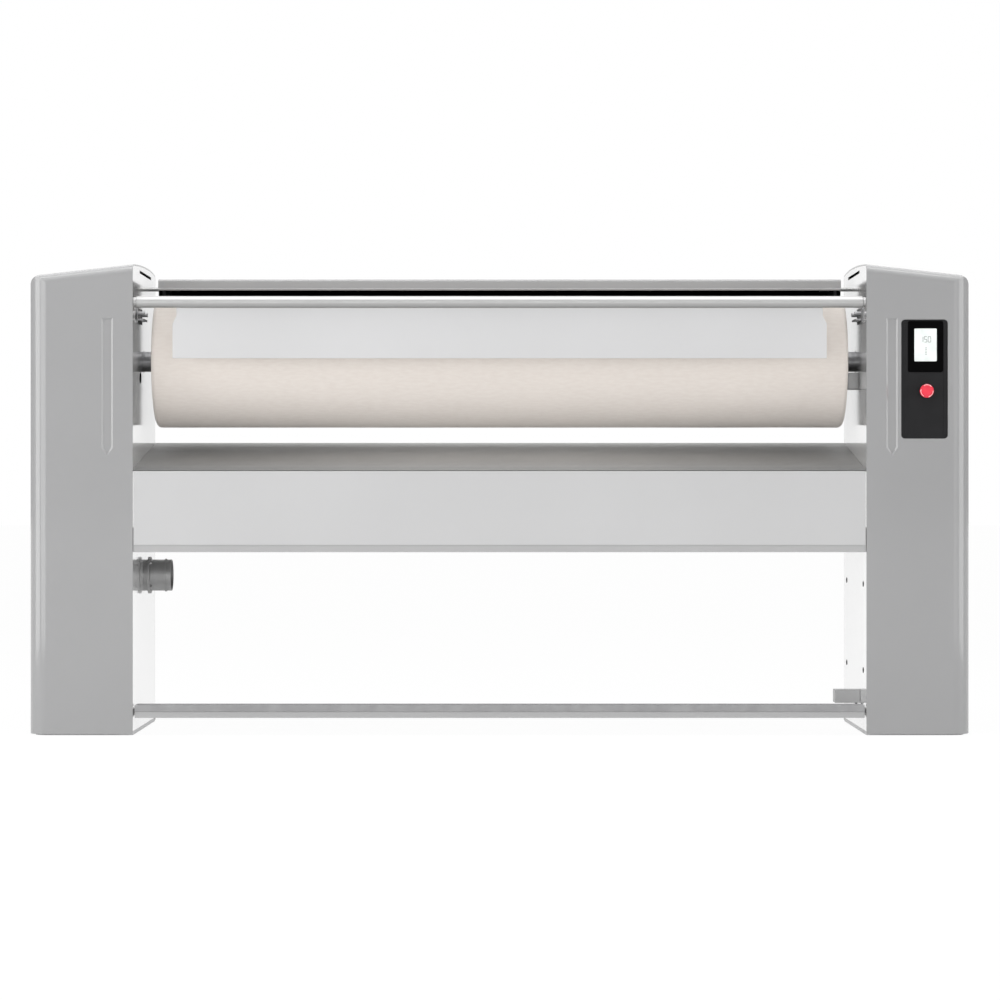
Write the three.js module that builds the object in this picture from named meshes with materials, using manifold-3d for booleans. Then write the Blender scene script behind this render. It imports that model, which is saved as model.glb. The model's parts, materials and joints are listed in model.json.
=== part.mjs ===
// A flatwork ironer for sheets and table linen: a cloth-covered roll between two side
// cabinets, a heated chest that swings against the back of the roll, a finger guard, a
// return tray and a foot bar. Millimetres, +X to the right, -Y to the front, +Z up, with
// the origin on the floor under the middle of the machine.
import * as THREE from "three";
import { mergeVertices } from "three/addons/utils/BufferGeometryUtils.js";
import Module from "manifold-3d";

const wasm = await Module();
wasm.setup();

// ---------------------------------------------------------------- clearances
const SEAT = 0.3; // between two faces that rest on each other
const RUN = 0.6; // round a shaft in its bore, on the radius
const CUT = 10; // how far a cutting shape reaches past what it cuts

// ---------------------------------------------------------------- roll
const ROLL_LENGTH = 1600;
const ROLL_RADIUS = 154; // outside of the cloth
const PADDING = 21; // felt and cloth together
const TUBE_WALL = 5;
const ROLL_Y = -10;
const ROLL_Z = 857;
const END_DISC = 10;
const DISC_IN = 2; // disc inside the end of the tube
const JOURNAL_RADIUS = 23.3;
const JOURNAL_BORE = 15;
const ROLL_SIDES = 44;

// ---------------------------------------------------------------- cabinets
const END_GAP = 32; // from the end of the roll to the cabinet wall
const CABINET_WIDTH = 237;
const DEPTH = 480;
const COVER_WALL = 3;
const COVER_LIFT = 3; // from the floor to the lower edge of a cover
const TOP_OVER_HOOD = 19; // front top edge of a cabinet above the hood
const TOP_LEAN = 0.112; // the top falls this much for each millimetre outwards
const FRONT_EDGE_R = 20;
const REAR_EDGE_R = 14;
const OUTER_EDGE_R = 13; // rear and top outer edges
const TOP_CORNER_R = 24; // the top rolls over to the outer side, seen from the front
const CORNER_R = 41; // upright front outer corner
const CROWN_Y = 95; // where the top is highest
const CROWN_FRONT = 11; // how much it rises from the front
const CROWN_REAR = 5;
const WALL_PLATE = 3;
const WALL_FLANGE = 30;
const SKID_HEIGHT = 9;
const SKID_INSET = 8;
const SLOT_FRONT = -98; // long slot near the top of each wall
const SLOT_REAR = 144;
const SLOT_DOWN = 23;
const SLOT_HEIGHT = 7;
const FIXING_RADIUS = 6; // four holes low in the right wall
const FIXING_INSET = 66;
const FIXING_LOW = 145;
const FIXING_RISE = 197;
const REAR_PANEL_LOW = 24; // opening in the rear of a cabinet
const REAR_PANEL_UNDER = 58; // its upper edge under the top of the cabinet
const REAR_PANEL_SIDE = 25; // and its outer edge in from the side of the cabinet
const VENTS = 6;
const VENT_PITCH = 26;
const VENT_HEIGHT = 6;
const VENT_LOW = 470;
const PLAIN_HOLE = 8; // hole beside the guard bracket in the left wall
const PLAIN_HOLE_Y = -175;
const PLAIN_HOLE_Z = 954;
const CLOTH_HOLE = 12.5; // and the one beside the roll
const CLOTH_HOLE_FORWARD = 73; // from the roll axis
const CLOTH_HOLE_DOWN = 40;
const SENSOR_FRONT = 78; // front end of the sensor on the right wall, from the roll axis
const SENSOR_DOWN = 28; // its top under the roll axis
const SENSOR_WIDTH = 68;
const SENSOR_HEIGHT = 38;
const SENSOR_THICK = 26;
const SENSOR_EYE = 6;
const SENSOR_EYE_PROUD = 3;
const SENSOR_EYE_IN = 18; // eye from the front end of the sensor
const SENSOR_EYE_UP = 20; // and from its lower edge

const WALL_X = ROLL_LENGTH / 2 + END_GAP; // inner face of a cabinet
const CABINET_X = WALL_X + CABINET_WIDTH; // its outer face
const WALL_BACK = WALL_X + WALL_PLATE; // the side of the wall inside the cabinet
const FRONT_Y = -DEPTH / 2;
const REAR_Y = DEPTH / 2;
const ROLL_END = ROLL_LENGTH / 2;

// ---------------------------------------------------------------- groove in the covers
const GROOVE_WIDTH = 26;
const GROOVE_DEPTH = 3;
const GROOVE_SLOPE = 4; // each side slopes in by this much from the face to the floor
const GROOVE_FROM_WALL = 45;
const GROOVE_TOP = 947;
const GROOVE_LENGTH = 293;
const GROOVE_POINT = 18;

// ---------------------------------------------------------------- heated chest and hood
const CHEST_GAP = 1; // between cloth and chest when it is pressed on
const CHEST_OPEN = (3 * Math.PI) / 180; // how far it swings open
const CHEST_PLATE = 12;
const CHEST_LOW = -58; // ends of the pressed chest round the roll, in degrees from the rear
const CHEST_HIGH = 31;
const CHEST_STEPS = 20;
const ELEMENT_RADIUS = 5;
const ELEMENT_RUNS = 4;
const ELEMENT_PITCH = 18; // between runs, in degrees round the chest
const ELEMENT_CLEAR = 0.9;
const INSULATION = 18;
const BLANKET_SHORT = 16; // the blanket stops this many degrees above the lower edge
const RIB = 8;
const RIB_INSET = 3; // from the end of the hood to its rib
const RIB_FRONT = 64; // front edge of a rib behind the lip
const RIB_RISE = 60; // where the rear edge of a rib starts above the end of the chest
const RIB_TAIL = 30; // and its lower corner behind that end
const RIB_TAIL_RISE = 12;
const ELEMENT_SHORT = 20; // end of the heater from the rib
const HOOD_SHEET = 2;
const HOOD_AIR = 8; // between insulation and hood
const LIP_CLEAR = 14; // lower edge of the hood above the roll
const LIP_HEIGHT = 26;
const LIP_Y = 0;
const LIP_FLANGE = 15;
const HOOD_CORNER_R = 18;
const HOOD_LIP_R = 6;
const HOOD_LOW = 714;
const PIVOT_IN = 28; // pivot axis from the rear of the hood
const PIVOT_DOWN = 12; // and from its top
const PIVOT_RADIUS = 5;
const PIVOT_INWARD = 30; // pivot pin inside the rib
const PIVOT_PAST_WALL = 8;
const PIVOT_PAST_LEVER = 6;

const CHEST_INNER = ROLL_RADIUS + CHEST_GAP;
const CHEST_OUTER = CHEST_INNER + CHEST_PLATE;
const BLANKET_INNER = CHEST_OUTER + 2 * ELEMENT_RADIUS + 2 * ELEMENT_CLEAR;
const BLANKET_OUTER = BLANKET_INNER + INSULATION;
const LIP_LOW = ROLL_Z + ROLL_RADIUS + LIP_CLEAR;
const HOOD_TOP = LIP_LOW + LIP_HEIGHT;
const HOOD_REAR = ROLL_Y + BLANKET_OUTER + HOOD_AIR + HOOD_SHEET + LIP_FLANGE;
const PIVOT_Y = HOOD_REAR - PIVOT_IN;
const PIVOT_Z = HOOD_TOP - PIVOT_DOWN;
const CABINET_TOP = HOOD_TOP + TOP_OVER_HOOD + CROWN_FRONT; // highest line of a cabinet

// ---------------------------------------------------------------- tray, panel and beams
const SHEET = 2;
const TRAY_UNDER_ROLL = 31; // rear edge of the tray under the roll
const TRAY_FALL = 70;
const TRAY_HEM = 22;
const PANEL_HEIGHT = 169.6;
const PANEL_SHORT = 2; // from the end of the panel to the wall
const PANEL_HEM = 24;
const BEAM = 56;
const BEAM_WALL = 3;
const BEAM_DROP = 16.4; // how far the front beam shows under the panel
const TRAY_EDGE = 0.2; // thickness of the tray at its feathered front edge

const TRAY_REAR = ROLL_Z - ROLL_RADIUS - TRAY_UNDER_ROLL;
const TRAY_FRONT = TRAY_REAR - TRAY_FALL;
const PANEL_LOW = TRAY_FRONT - SEAT - PANEL_HEIGHT;

// ---------------------------------------------------------------- finger guard
const GUARD_RADIUS = 13.2;
const GUARD_UNDER_HOOD = 67.2; // bar axis under the top of the hood
const GUARD_PIN = 5;
const GUARD_PIN_REACH = 12; // inside the cabinet
const GUARD_BUSH = 11;
const GUARD_BUSH_LENGTH = 7;
const GUARD_PLATE = 3;
const GUARD_DROP = 128; // plate below the bar axis
const GUARD_HALF = 743; // half width of the plate
const GUARD_SHOULDER = 9; // each side is cut in by this much at the top
const GUARD_SHOULDER_Z = 32; // from the bar axis to the shoulder
const GUARD_SLOPE = 17; // height of the slope under the shoulder
const GUARD_LUG = 4; // half width of the lug that works the guard switch
const GUARD_LUG_DROP = 24;
const GUARD_LUG_THICK = 6;
const GUARD_LUG_SWING = 6.4; // the lug may swing back this far before it meets the switch
const GUARD_SWITCH_OUT = 30;
const GUARD_SWITCH_DEPTH = 34;
const GUARD_SWITCH_LOW = 30; // ends of the switch under the bar axis
const GUARD_SWITCH_HIGH = 12;
const STOP_BEHIND = 56; // bracket on the wall behind the guard, from the bar axis
const STOP_LENGTH = 96;
const STOP_LOW = 44; // ends of the bracket under the bar axis
const STOP_HIGH = 9;
const STOP_PLATE = 3;
const STOP_SHELF = 16;
const STOP_SHELF_IN = 8; // shelf short of each end of the bracket
const STOP_SHELF_LOW = 38;
const STOP_SHELF_THICK = 4;
const STOP_STUD = 5;
const STOP_STUD_OUT = 18;
const STOP_STUD_IN = 18; // studs from the ends of the bracket
const STOP_STUD_LOW = 22;

const GUARD_Y = FRONT_Y + GUARD_RADIUS;
const GUARD_Z = HOOD_TOP - GUARD_UNDER_HOOD;

//---------------------------------------------------------------- foot bar
const PEDAL_LOW = 39.6;
const PEDAL_HEIGHT = 29.4;
const PEDAL_DEPTH = 50;
const PEDAL_SHEET = 2;
const PEDAL_GAP = 4; // from the bar to the wall
const TREAD = 3;
const TREAD_LIP = 15;
const PEDAL_AXIS_Y = -110;
const PEDAL_AXIS_Z = 50;
const PEDAL_ARM = 6;
const PEDAL_ARM_HEIGHT = 15;
const PEDAL_PIN = 5;
const PEDAL_TAIL = 30;
const PEDAL_PIN_REACH = 6; // inside the cabinet
const PLUNGER_BACK = 20; // plunger behind the pedal axis
const PLUNGER_RADIUS = 3;
const PLUNGER_IN_BOX = 10;
const PLUNGER_TRAVEL = 5;
const SWITCH_LOW = 66;
const SWITCH_HEIGHT = 30;
const SWITCH_WIDTH = 58;
const SWITCH_DEPTH = 46;

// ---------------------------------------------------------------- drive
const CHAIN_PITCH = 19.05;
const ROLL_TEETH = 36;
const MOTOR_TEETH = 15;
const TOOTH = 7; // height of a tooth
const TOOTH_RISE = 0.4; // shares of a pitch at which the tip of a tooth starts and ends
const TOOTH_FALL = 0.6;
const SPROCKET_WIDTH = 10;
const SPROCKET_FROM_WALL = 46;
const CHAIN_THICK = 7;
const CHAIN_CENTRES = 300;
const MOTOR_SHAFT = 12;
const GEARBOX = 150; // height
const GEARBOX_WIDTH = 96;
const GEARBOX_DEPTH = 120;
const GEARBOX_CLEAR = 8; // from the sprocket
const GEARBOX_BOSS = 34;
const BOSS_INNER = 4; // how far the boss stands out on the sprocket side
const BOSS_OUTER = 6;
const SHAFT_IN_GEARBOX = 20;
const MOTOR_BODY = 56;
const MOTOR_LENGTH = 220;
const FINS = 12;
const FIN_DEEP = 8;
const FIN_THICK = 3;
const FIN_SHORT = 60; // a fin is shorter than the motor by this much
const FIN_DOWN = 15; // and sits below its middle
const BRACKET = 8;
const BRACKET_FOOT = 70;
const BEARING_FLANGE = 116;
const BEARING_FOOT = 12;
const BEARING_RADIUS = 45;
const BEARING_LENGTH = 34;
const BEARING_CORNER = 12;
const BOLT_RADIUS = 7;
const BOLT_HEAD = 6;
const JOURNAL_HOLE = 3; // the hole in the wall is wider than the journal by this much

// ---------------------------------------------------------------- press cylinder
const LEVER_LENGTH = 80;
const LEVER_WIDTH = 24;
const LEVER_PLATE = 8;
const LEVER_FROM_WALL = 30;
const LEVER_EYE = 18;
const ROD_RADIUS = 6;
const ROD_LENGTH = 72;
const PRESS_RADIUS = 20;
const PRESS_LENGTH = 92;
const PRESS_OVERLAP = 14; // rod inside the cylinder
const PRESS_BORE_PAST = 16; // room for its stroke
const PRESS_FOOT_IN = 20; // foot short of each end of the cylinder
const PRESS_FOOT = 12;

// ---------------------------------------------------------------- suction fan
const STUB_RADIUS = 36.5;
const STUB_WALL = 2;
const STUB_REACH = 64;
const STUB_FLANGE = 43; // bolted ring round the spigot
const STUB_FLANGE_THICK = 6;
const STUB_FLANGE_OUT = 9; // from the wall
const STUB_IN_CABINET = 14;
const STUB_BEAD = 2; // raised ring near the end of the spigot
const STUB_BEAD_IN = 12;
const STUB_BEAD_WIDTH = 4;
const STUB_BOLT = 3.5;
const STUB_BOLT_HEAD = 4;
const STUB_BOLT_IN = 3; // from the edge of the flange
const STUB_Y = 8;
const STUB_Z = 358;
const STUB_SIDES = 24;
const FAN_RADIUS = 88;
const FAN_DEPTH = 90;
const FAN_SHEET = 3;
const FAN_FROM_WALL = 118;
const FAN_OUTLET = 82; // square outlet
const FAN_EYE = 27;
const WHEEL_RADIUS = 68;
const WHEEL_BLADES = 10;
const WHEEL_BLADE = 3;
const WHEEL_WIDTH = 44;
const WHEEL_CLEAR = 6; // from the rear of the housing
const BLADE_CHORD = 26;
const BLADE_SET = 0.7; // radians from the radius
const FAN_SHAFT = 6;
const FAN_SHAFT_REACH = 20; // inside the motor
const FAN_MOTOR_RADIUS = 46;
const FAN_MOTOR_LENGTH = 92;
const FAN_MOTOR_RIM = 6;
const FAN_MOTOR_RIM_THICK = 8;
const DUCT_RADIUS = 27;
const DUCT_WALL = 2.5;
const DUCT_IN_FRONT = 58; // its upright stretch in front of the fan
const JOURNAL_REACH_LEFT = 70; // journal inside the left cabinet
const JOURNAL_REACH_RIGHT = 66;

// ---------------------------------------------------------------- controls
const PANEL_FROM_WALL = 79; // inner edge of the control panel
const PANEL_W = 105;
const PANEL_Z = 673.5;
const PANEL_H = 269.5;
const PANEL_R = 8;
const PANEL_THICK = 14;
const PANEL_RECESS = 1;
const STRIP = 6; // raised strip down each side
const DISPLAY_W = 80;
const DISPLAY_H = 116;
const DISPLAY_TOP = 3; // under the top of the panel
const DISPLAY_SHIFT = 2.5; // right of the panel's middle
const DISPLAY_DEEP = 24;
const SCREEN_W = 51;
const SCREEN_H = 74.5;
const SCREEN_DROP = 17;
const SCREEN_DEEP = 6;
const DISPLAY_R = 4;
const DISPLAY_RECESS = 0.4; // face of the display behind the face of the cover
const BUTTON_RADIUS = 15.5;
const BUTTON_FACE = 12.5; // raised middle of the head
const BUTTON_STEP = 2;
const BUTTON_IN_PANEL = 56; // button axis from the inner edge of the panel
const BUTTON_UP = 107.5; // and from its lower edge
const BUTTON_PROUD = 18; // head in front of the cover
const BUTTON_HEAD = 12;
const STEM_RADIUS = 8;
const STEM_IN_HEAD = 6;
const STEM_SHORT = 2; // stem short of the rear of the panel
const GLAND_PROUD = 18;
const GLAND_RADIUS = 16;
const GLAND_THREAD = 10;
const GLAND_NUT = 14;
const GLAND_BORE = 6.5;
const GLAND_FROM_WALL = 148;
const GLAND_Z = 150;
const BOARD = 3; // mounting plate for the electrics
const BOARD_HALF = 120;
const BOARD_LOW = 60;
const BOARD_HIGH = 230;
const CONTACTOR_OUT = 80; // from the cabinet wall
const CONTACTOR_STEP = 14;
const CONTACTOR_Y = -60;
const CONTACTOR_DEPTH = 55;
const CONTACTOR_LOW = 110;
const CONTACTOR_HEIGHT = 80;
const TERMINALS = 4; // terminal blocks stand out at both ends
const TERMINALS_IN = 15;

const PANEL_X = WALL_X + PANEL_FROM_WALL;
const BUTTON_X = PANEL_X + BUTTON_IN_PANEL;
const BUTTON_Z = PANEL_Z + BUTTON_UP;
const GLAND_X = WALL_X + GLAND_FROM_WALL;

// ---------------------------------------------------------------- finishes
const finish = (color, roughness, metalness) =>
  new THREE.MeshStandardMaterial({ color, roughness, metalness });
const COVER_PAINT = finish(0xacacac, 0.5, 0.1);
const STAINLESS = finish(0xd8d8d8, 0.3, 0.9);
const PANEL_PAINT = finish(0xcfcfcf, 0.45, 0.2);
const TRAY_PAINT = finish(0x858585, 0.5, 0.2);
const CLOTH = finish(0xe2d8d0, 0.95, 0);
const STEEL = finish(0x8c8c8c, 0.4, 0.9);
const CAST = finish(0x4a4d50, 0.6, 0.5);
const ALUMINIUM = finish(0xb8babc, 0.35, 0.9);
const DARK = finish(0x2c2c2e, 0.55, 0);
const GLOSS_BLACK = finish(0x0c0c0d, 0.12, 0);
const SCREEN_WHITE = finish(0xf2f6f4, 0.3, 0);
const RED = finish(0xe04858, 0.35, 0);
const RUBBER = finish(0x5a5a5a, 0.85, 0);
const FELT = finish(0xd9d2b8, 0.95, 0);

// ---------------------------------------------------------------- solids
const machine = new THREE.Group();

// A closed geometry as a solid that can be cut and joined.
function solid(geometry) {
  const bare = geometry.index ? geometry.toNonIndexed() : geometry.clone();
  bare.deleteAttribute("normal");
  bare.deleteAttribute("uv");
  bare.clearGroups();
  const merged = mergeVertices(bare, 1e-3);
  return new wasm.Manifold(
    new wasm.Mesh({
      numProp: 3,
      vertProperties: new Float32Array(merged.attributes.position.array),
      triVerts: new Uint32Array(merged.index.array),
    }),
  );
}

// The solid again as a geometry.
function geometryOf(body) {
  const mesh = body.getMesh();
  const geometry = new THREE.BufferGeometry();
  geometry.setAttribute("position", new THREE.BufferAttribute(mesh.vertProperties, 3));
  geometry.setIndex(new THREE.BufferAttribute(mesh.triVerts, 1));
  return geometry;
}

const join = (...bodies) => bodies.reduce((all, one) => all.add(one));
const cut = (body, ...tools) => tools.reduce((left, tool) => left.subtract(tool), body);

function put(name, body, material) {
  const mesh = new THREE.Mesh(geometryOf(body), material);
  mesh.geometry.computeVertexNormals();
  mesh.name = name;
  machine.add(mesh);
}

// The same solid on the other side of the machine.
function mirrored(body) {
  const geometry = geometryOf(body).scale(-1, 1, 1);
  const index = geometry.index.array;
  for (let i = 0; i < index.length; i += 3) {
    [index[i + 1], index[i + 2]] = [index[i + 2], index[i + 1]];
  }
  return solid(geometry);
}

const onSide = (body, side) => (side > 0 ? body : mirrored(body));
const sideName = (side) => (side > 0 ? "right" : "left");
const SIDES = [-1, 1];

function block(x0, x1, y0, y1, z0, z1) {
  const geometry = new THREE.BoxGeometry(x1 - x0, y1 - y0, z1 - z0);
  return solid(geometry.translate((x0 + x1) / 2, (y0 + y1) / 2, (z0 + z1) / 2));
}

// A plate with the outline given in Y and Z, standing across X.
function prismX(points, x0, x1) {
  const shape = new THREE.Shape(points.map(([y, z]) => new THREE.Vector2(y, z)));
  const geometry = new THREE.ExtrudeGeometry(shape, { depth: x1 - x0, bevelEnabled: false });
  return solid(geometry.applyMatrix4(AS_YZ).translate(x0, 0, 0));
}

// A plate with the outline given in X and Z, standing across Y.
function prismY(points, y0, y1) {
  const shape = new THREE.Shape(points.map(([x, z]) => new THREE.Vector2(x, z)));
  const geometry = new THREE.ExtrudeGeometry(shape, { depth: y1 - y0, bevelEnabled: false });
  return solid(geometry.rotateX(Math.PI / 2).translate(0, y1, 0));
}

// A plate with the outline given in X and Y, lying across Z.
function prismZ(points, z0, z1) {
  const shape = new THREE.Shape(points.map(([x, y]) => new THREE.Vector2(x, y)));
  const geometry = new THREE.ExtrudeGeometry(shape, { depth: z1 - z0, bevelEnabled: false });
  return solid(geometry.translate(0, 0, z0));
}

const AS_YZ = new THREE.Matrix4().makeBasis(
  new THREE.Vector3(0, 1, 0),
  new THREE.Vector3(0, 0, 1),
  new THREE.Vector3(1, 0, 0),
);

function rodX(radius, x0, x1, y, z, sides = 24) {
  const geometry = new THREE.CylinderGeometry(radius, radius, x1 - x0, sides);
  return solid(geometry.rotateZ(-Math.PI / 2).translate((x0 + x1) / 2, y, z));
}

function rodY(radius, x, y0, y1, z, sides = 24) {
  const geometry = new THREE.CylinderGeometry(radius, radius, y1 - y0, sides);
  return solid(geometry.translate(x, (y0 + y1) / 2, z));
}

function rodZ(radius, x, y, z0, z1, sides = 24) {
  const geometry = new THREE.CylinderGeometry(radius, radius, z1 - z0, sides);
  return solid(geometry.rotateX(Math.PI / 2).translate(x, y, (z0 + z1) / 2));
}

const ringX = (outer, inner, x0, x1, y, z, sides = 24) =>
  cut(rodX(outer, x0, x1, y, z, sides), rodX(inner, x0 - CUT, x1 + CUT, y, z, sides));

// Points on an arc; the angles are in degrees, from the first axis towards the second.
function arc(a, b, radius, from, to, steps) {
  return Array.from({ length: steps + 1 }, (_, i) => {
    const t = THREE.MathUtils.degToRad(from + ((to - from) * i) / steps);
    return [a + radius * Math.cos(t), b + radius * Math.sin(t)];
  });
}

// The outline of an upright rectangle with round corners.
function roundedRect(a0, a1, b0, b1, radius, steps = 4) {
  return [
    ...arc(a1 - radius, b1 - radius, radius, 0, 90, steps),
    ...arc(a0 + radius, b1 - radius, radius, 90, 180, steps),
    ...arc(a0 + radius, b0 + radius, radius, 180, 270, steps),
    ...arc(a1 - radius, b0 + radius, radius, 270, 360, steps),
  ];
}

// ---------------------------------------------------------------- cabinets
// Height of the crowned top along its highest line, at the cabinet wall.
function crown(y) {
  const reach = y < CROWN_Y ? CROWN_Y - FRONT_Y - FRONT_EDGE_R : REAR_Y - REAR_EDGE_R - CROWN_Y;
  const drop = y < CROWN_Y ? CROWN_FRONT : CROWN_REAR;
  return CABINET_TOP - drop * ((y - CROWN_Y) / reach) ** 2;
}

// The side outline of a cabinet, drawn in by the inset on the front, top and rear.
function sideOutline(inset, low, steps = 12) {
  const front = FRONT_Y + FRONT_EDGE_R;
  const rear = REAR_Y - REAR_EDGE_R;
  const top = Array.from({ length: steps - 1 }, (_, i) => {
    const y = rear + ((front - rear) * (i + 1)) / steps;
    return [y, crown(y) - inset];
  });
  return [
    [FRONT_Y + inset, low],
    [REAR_Y - inset, low],
    ...arc(rear, crown(rear) - REAR_EDGE_R, REAR_EDGE_R - inset, 0, 90, 4),
    ...top,
    ...arc(front, crown(front) - FRONT_EDGE_R, FRONT_EDGE_R - inset, 90, 180, 6),
  ];
}

// Everything high up leans down towards the outside, as the top of the cabinet does.
function leaning(geometry) {
  const place = geometry.attributes.position;
  for (let i = 0; i < place.count; i++) {
    if (place.getZ(i) > ROLL_Z) {
      place.setZ(i, place.getZ(i) - TOP_LEAN * (place.getX(i) - WALL_X));
    }
  }
  return geometry;
}

// How far a round edge that starts at from has dropped at x.
const roundDrop = (x, from, radius) =>
  x <= from ? 0 : radius - Math.sqrt(Math.max(0, radius ** 2 - (x - from) ** 2));

// Two inner sections of the extruded form move out to where the top rolls over to the side,
// and everything high up drops by what that larger round has beyond the small one of the edge.
function rollOver(geometry, from, depth, inset) {
  const turn = CABINET_X - TOP_CORNER_R;
  const edge = CABINET_X - OUTER_EDGE_R;
  const sections = [from, turn, (turn + edge) / 2, from + depth];
  const last = sections.length - 1;
  const place = geometry.attributes.position;
  for (let i = 0; i < place.count; i++) {
    const section = Math.round(((place.getX(i) - from) / depth) * last);
    if (section > 0 && section < last) {
      place.setX(i, sections[section]);
    }
    if (place.getZ(i) > ROLL_Z) {
      const x = place.getX(i);
      const round = roundDrop(x, turn, TOP_CORNER_R - inset) - roundDrop(x, edge, OUTER_EDGE_R - inset);
      place.setZ(i, place.getZ(i) - round);
    }
  }
}

// The full form of a cabinet with its rounded outer end, drawn in by the inset.
function cabinetForm(inset, low) {
  const r = OUTER_EDGE_R - inset;
  const outer = CABINET_X - inset;
  const start = WALL_X - OUTER_EDGE_R - CUT;
  const outline = sideOutline(inset, low - OUTER_EDGE_R - CUT);
  const shape = new THREE.Shape(outline.map(([y, z]) => new THREE.Vector2(y, z)));
  const depth = outer - start - 2 * r;
  const geometry = new THREE.ExtrudeGeometry(shape, {
    depth,
    steps: 3,
    bevelThickness: r,
    bevelSize: r,
    bevelOffset: -r,
    bevelSegments: 4,
  });
  geometry.applyMatrix4(AS_YZ).translate(start + r, 0, 0);
  rollOver(geometry, start + r, depth, inset);
  const open = WALL_X - (inset > 0 ? CUT : 0);
  const plan = [
    [open, REAR_Y - inset],
    [open, FRONT_Y + inset],
    ...arc(CABINET_X - CORNER_R, FRONT_Y + CORNER_R, CORNER_R - inset, 270, 360, 8),
    [outer, REAR_Y - inset],
  ];
  return solid(leaning(geometry)).intersect(prismZ(plan, low, CABINET_TOP + CUT));
}

// The groove as a cutting solid, with sides that slope in to its floor.
function groove(grow) {
  const inner = WALL_X + GROOVE_FROM_WALL + GROOVE_SLOPE - grow;
  const outer = WALL_X + GROOVE_FROM_WALL + GROOVE_WIDTH - GROOVE_SLOPE + grow;
  const high = GROOVE_TOP - GROOVE_SLOPE + grow;
  const low = GROOVE_TOP - GROOVE_LENGTH;
  const tip = low - GROOVE_POINT + GROOVE_SLOPE - grow;
  const floor = [[inner, high], [inner, low], [(inner + outer) / 2, tip], [outer, low], [outer, high]];
  const shape = new THREE.Shape(floor.map(([x, z]) => new THREE.Vector2(x, z)));
  const geometry = new THREE.ExtrudeGeometry(shape, {
    depth: CUT,
    bevelThickness: GROOVE_DEPTH,
    bevelSize: GROOVE_SLOPE,
    bevelSegments: 1,
  });
  return solid(geometry.rotateX(Math.PI / 2).translate(0, FRONT_Y + grow, 0));
}

const REAR_PANEL_X = CABINET_X - REAR_PANEL_SIDE;
const REAR_PANEL_TOP = CABINET_TOP - REAR_PANEL_UNDER;

// The cover is open towards the wall, underneath, and at the rear, where a plate closes it.
function cover() {
  const hollow = cut(cabinetForm(COVER_WALL, COVER_LIFT - CUT), groove(COVER_WALL));
  const rearOpening = block(
    WALL_X - CUT, REAR_PANEL_X, REAR_Y - COVER_WALL - CUT, REAR_Y + CUT, REAR_PANEL_LOW, REAR_PANEL_TOP,
  );
  return cut(cabinetForm(0, COVER_LIFT), hollow, groove(0), rearOpening);
}

function panelOutline(grow) {
  return roundedRect(
    PANEL_X - grow, PANEL_X + PANEL_W + grow, PANEL_Z - grow, PANEL_Z + PANEL_H + grow, PANEL_R + grow,
  );
}

function rearCover(side) {
  const inner = WALL_X + SEAT;
  const ventFrom = inner + 2 * WALL_FLANGE;
  const ventTo = REAR_PANEL_X - WALL_FLANGE;
  let plate = block(
    inner, REAR_PANEL_X - SEAT, REAR_Y - COVER_WALL, REAR_Y, REAR_PANEL_LOW + SEAT, REAR_PANEL_TOP - SEAT,
  );
  for (let i = 0; i < VENTS; i++) {
    const z = VENT_LOW + VENT_PITCH * i;
    plate = cut(plate, block(ventFrom, ventTo, REAR_Y - CUT, REAR_Y + CUT, z, z + VENT_HEIGHT));
  }
  return side > 0
    ? cut(plate, rodY(GLAND_THREAD + SEAT, GLAND_X, REAR_Y - CUT, REAR_Y + CUT, GLAND_Z, 12))
    : plate;
}

// The folded wall that carries everything: a plate with a flange round its edge.
function wall(side) {
  const inset = COVER_WALL + SEAT;
  const low = SKID_HEIGHT + SEAT;
  const lean = (points, x0, x1) => {
    const shape = new THREE.Shape(points.map(([y, z]) => new THREE.Vector2(y, z)));
    const geometry = new THREE.ExtrudeGeometry(shape, { depth: x1 - x0, bevelEnabled: false });
    return solid(leaning(geometry.applyMatrix4(AS_YZ).translate(x0, 0, 0)));
  };
  const full = lean(sideOutline(inset, low), WALL_X, WALL_X + WALL_FLANGE);
  const hollow = lean(
    sideOutline(inset + WALL_PLATE, low + WALL_PLATE), WALL_BACK, WALL_X + WALL_FLANGE + CUT,
  );
  const hole = (radius, y, z, sides = 12) => rodX(radius, WALL_X - CUT, WALL_BACK + CUT, y, z, sides);
  const slotLow = CABINET_TOP - SLOT_DOWN;
  const tray = cut(
    full, hollow,
    block(WALL_X - CUT, WALL_BACK + CUT, SLOT_FRONT, SLOT_REAR, slotLow, slotLow + SLOT_HEIGHT),
    hole(JOURNAL_RADIUS + JOURNAL_HOLE, ROLL_Y, ROLL_Z),
    hole(PIVOT_RADIUS + RUN, PIVOT_Y, PIVOT_Z),
    hole(GUARD_PIN + RUN, GUARD_Y, GUARD_Z),
    hole(PEDAL_PIN + RUN, PEDAL_AXIS_Y, PEDAL_AXIS_Z),
  );
  if (side < 0) {
    return cut(
      tray,
      hole(PLAIN_HOLE, PLAIN_HOLE_Y, PLAIN_HOLE_Z),
      hole(CLOTH_HOLE, ROLL_Y - CLOTH_HOLE_FORWARD, ROLL_Z - CLOTH_HOLE_DOWN),
      hole(STUB_RADIUS + RUN, STUB_Y, STUB_Z, STUB_SIDES),
    );
  }
  const fixings = [FRONT_Y + FIXING_INSET, REAR_Y - FIXING_INSET].flatMap((y) =>
    [FIXING_LOW, FIXING_LOW + FIXING_RISE].map((z) => hole(FIXING_RADIUS, y, z)),
  );
  return cut(tray, ...fixings);
}

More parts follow.
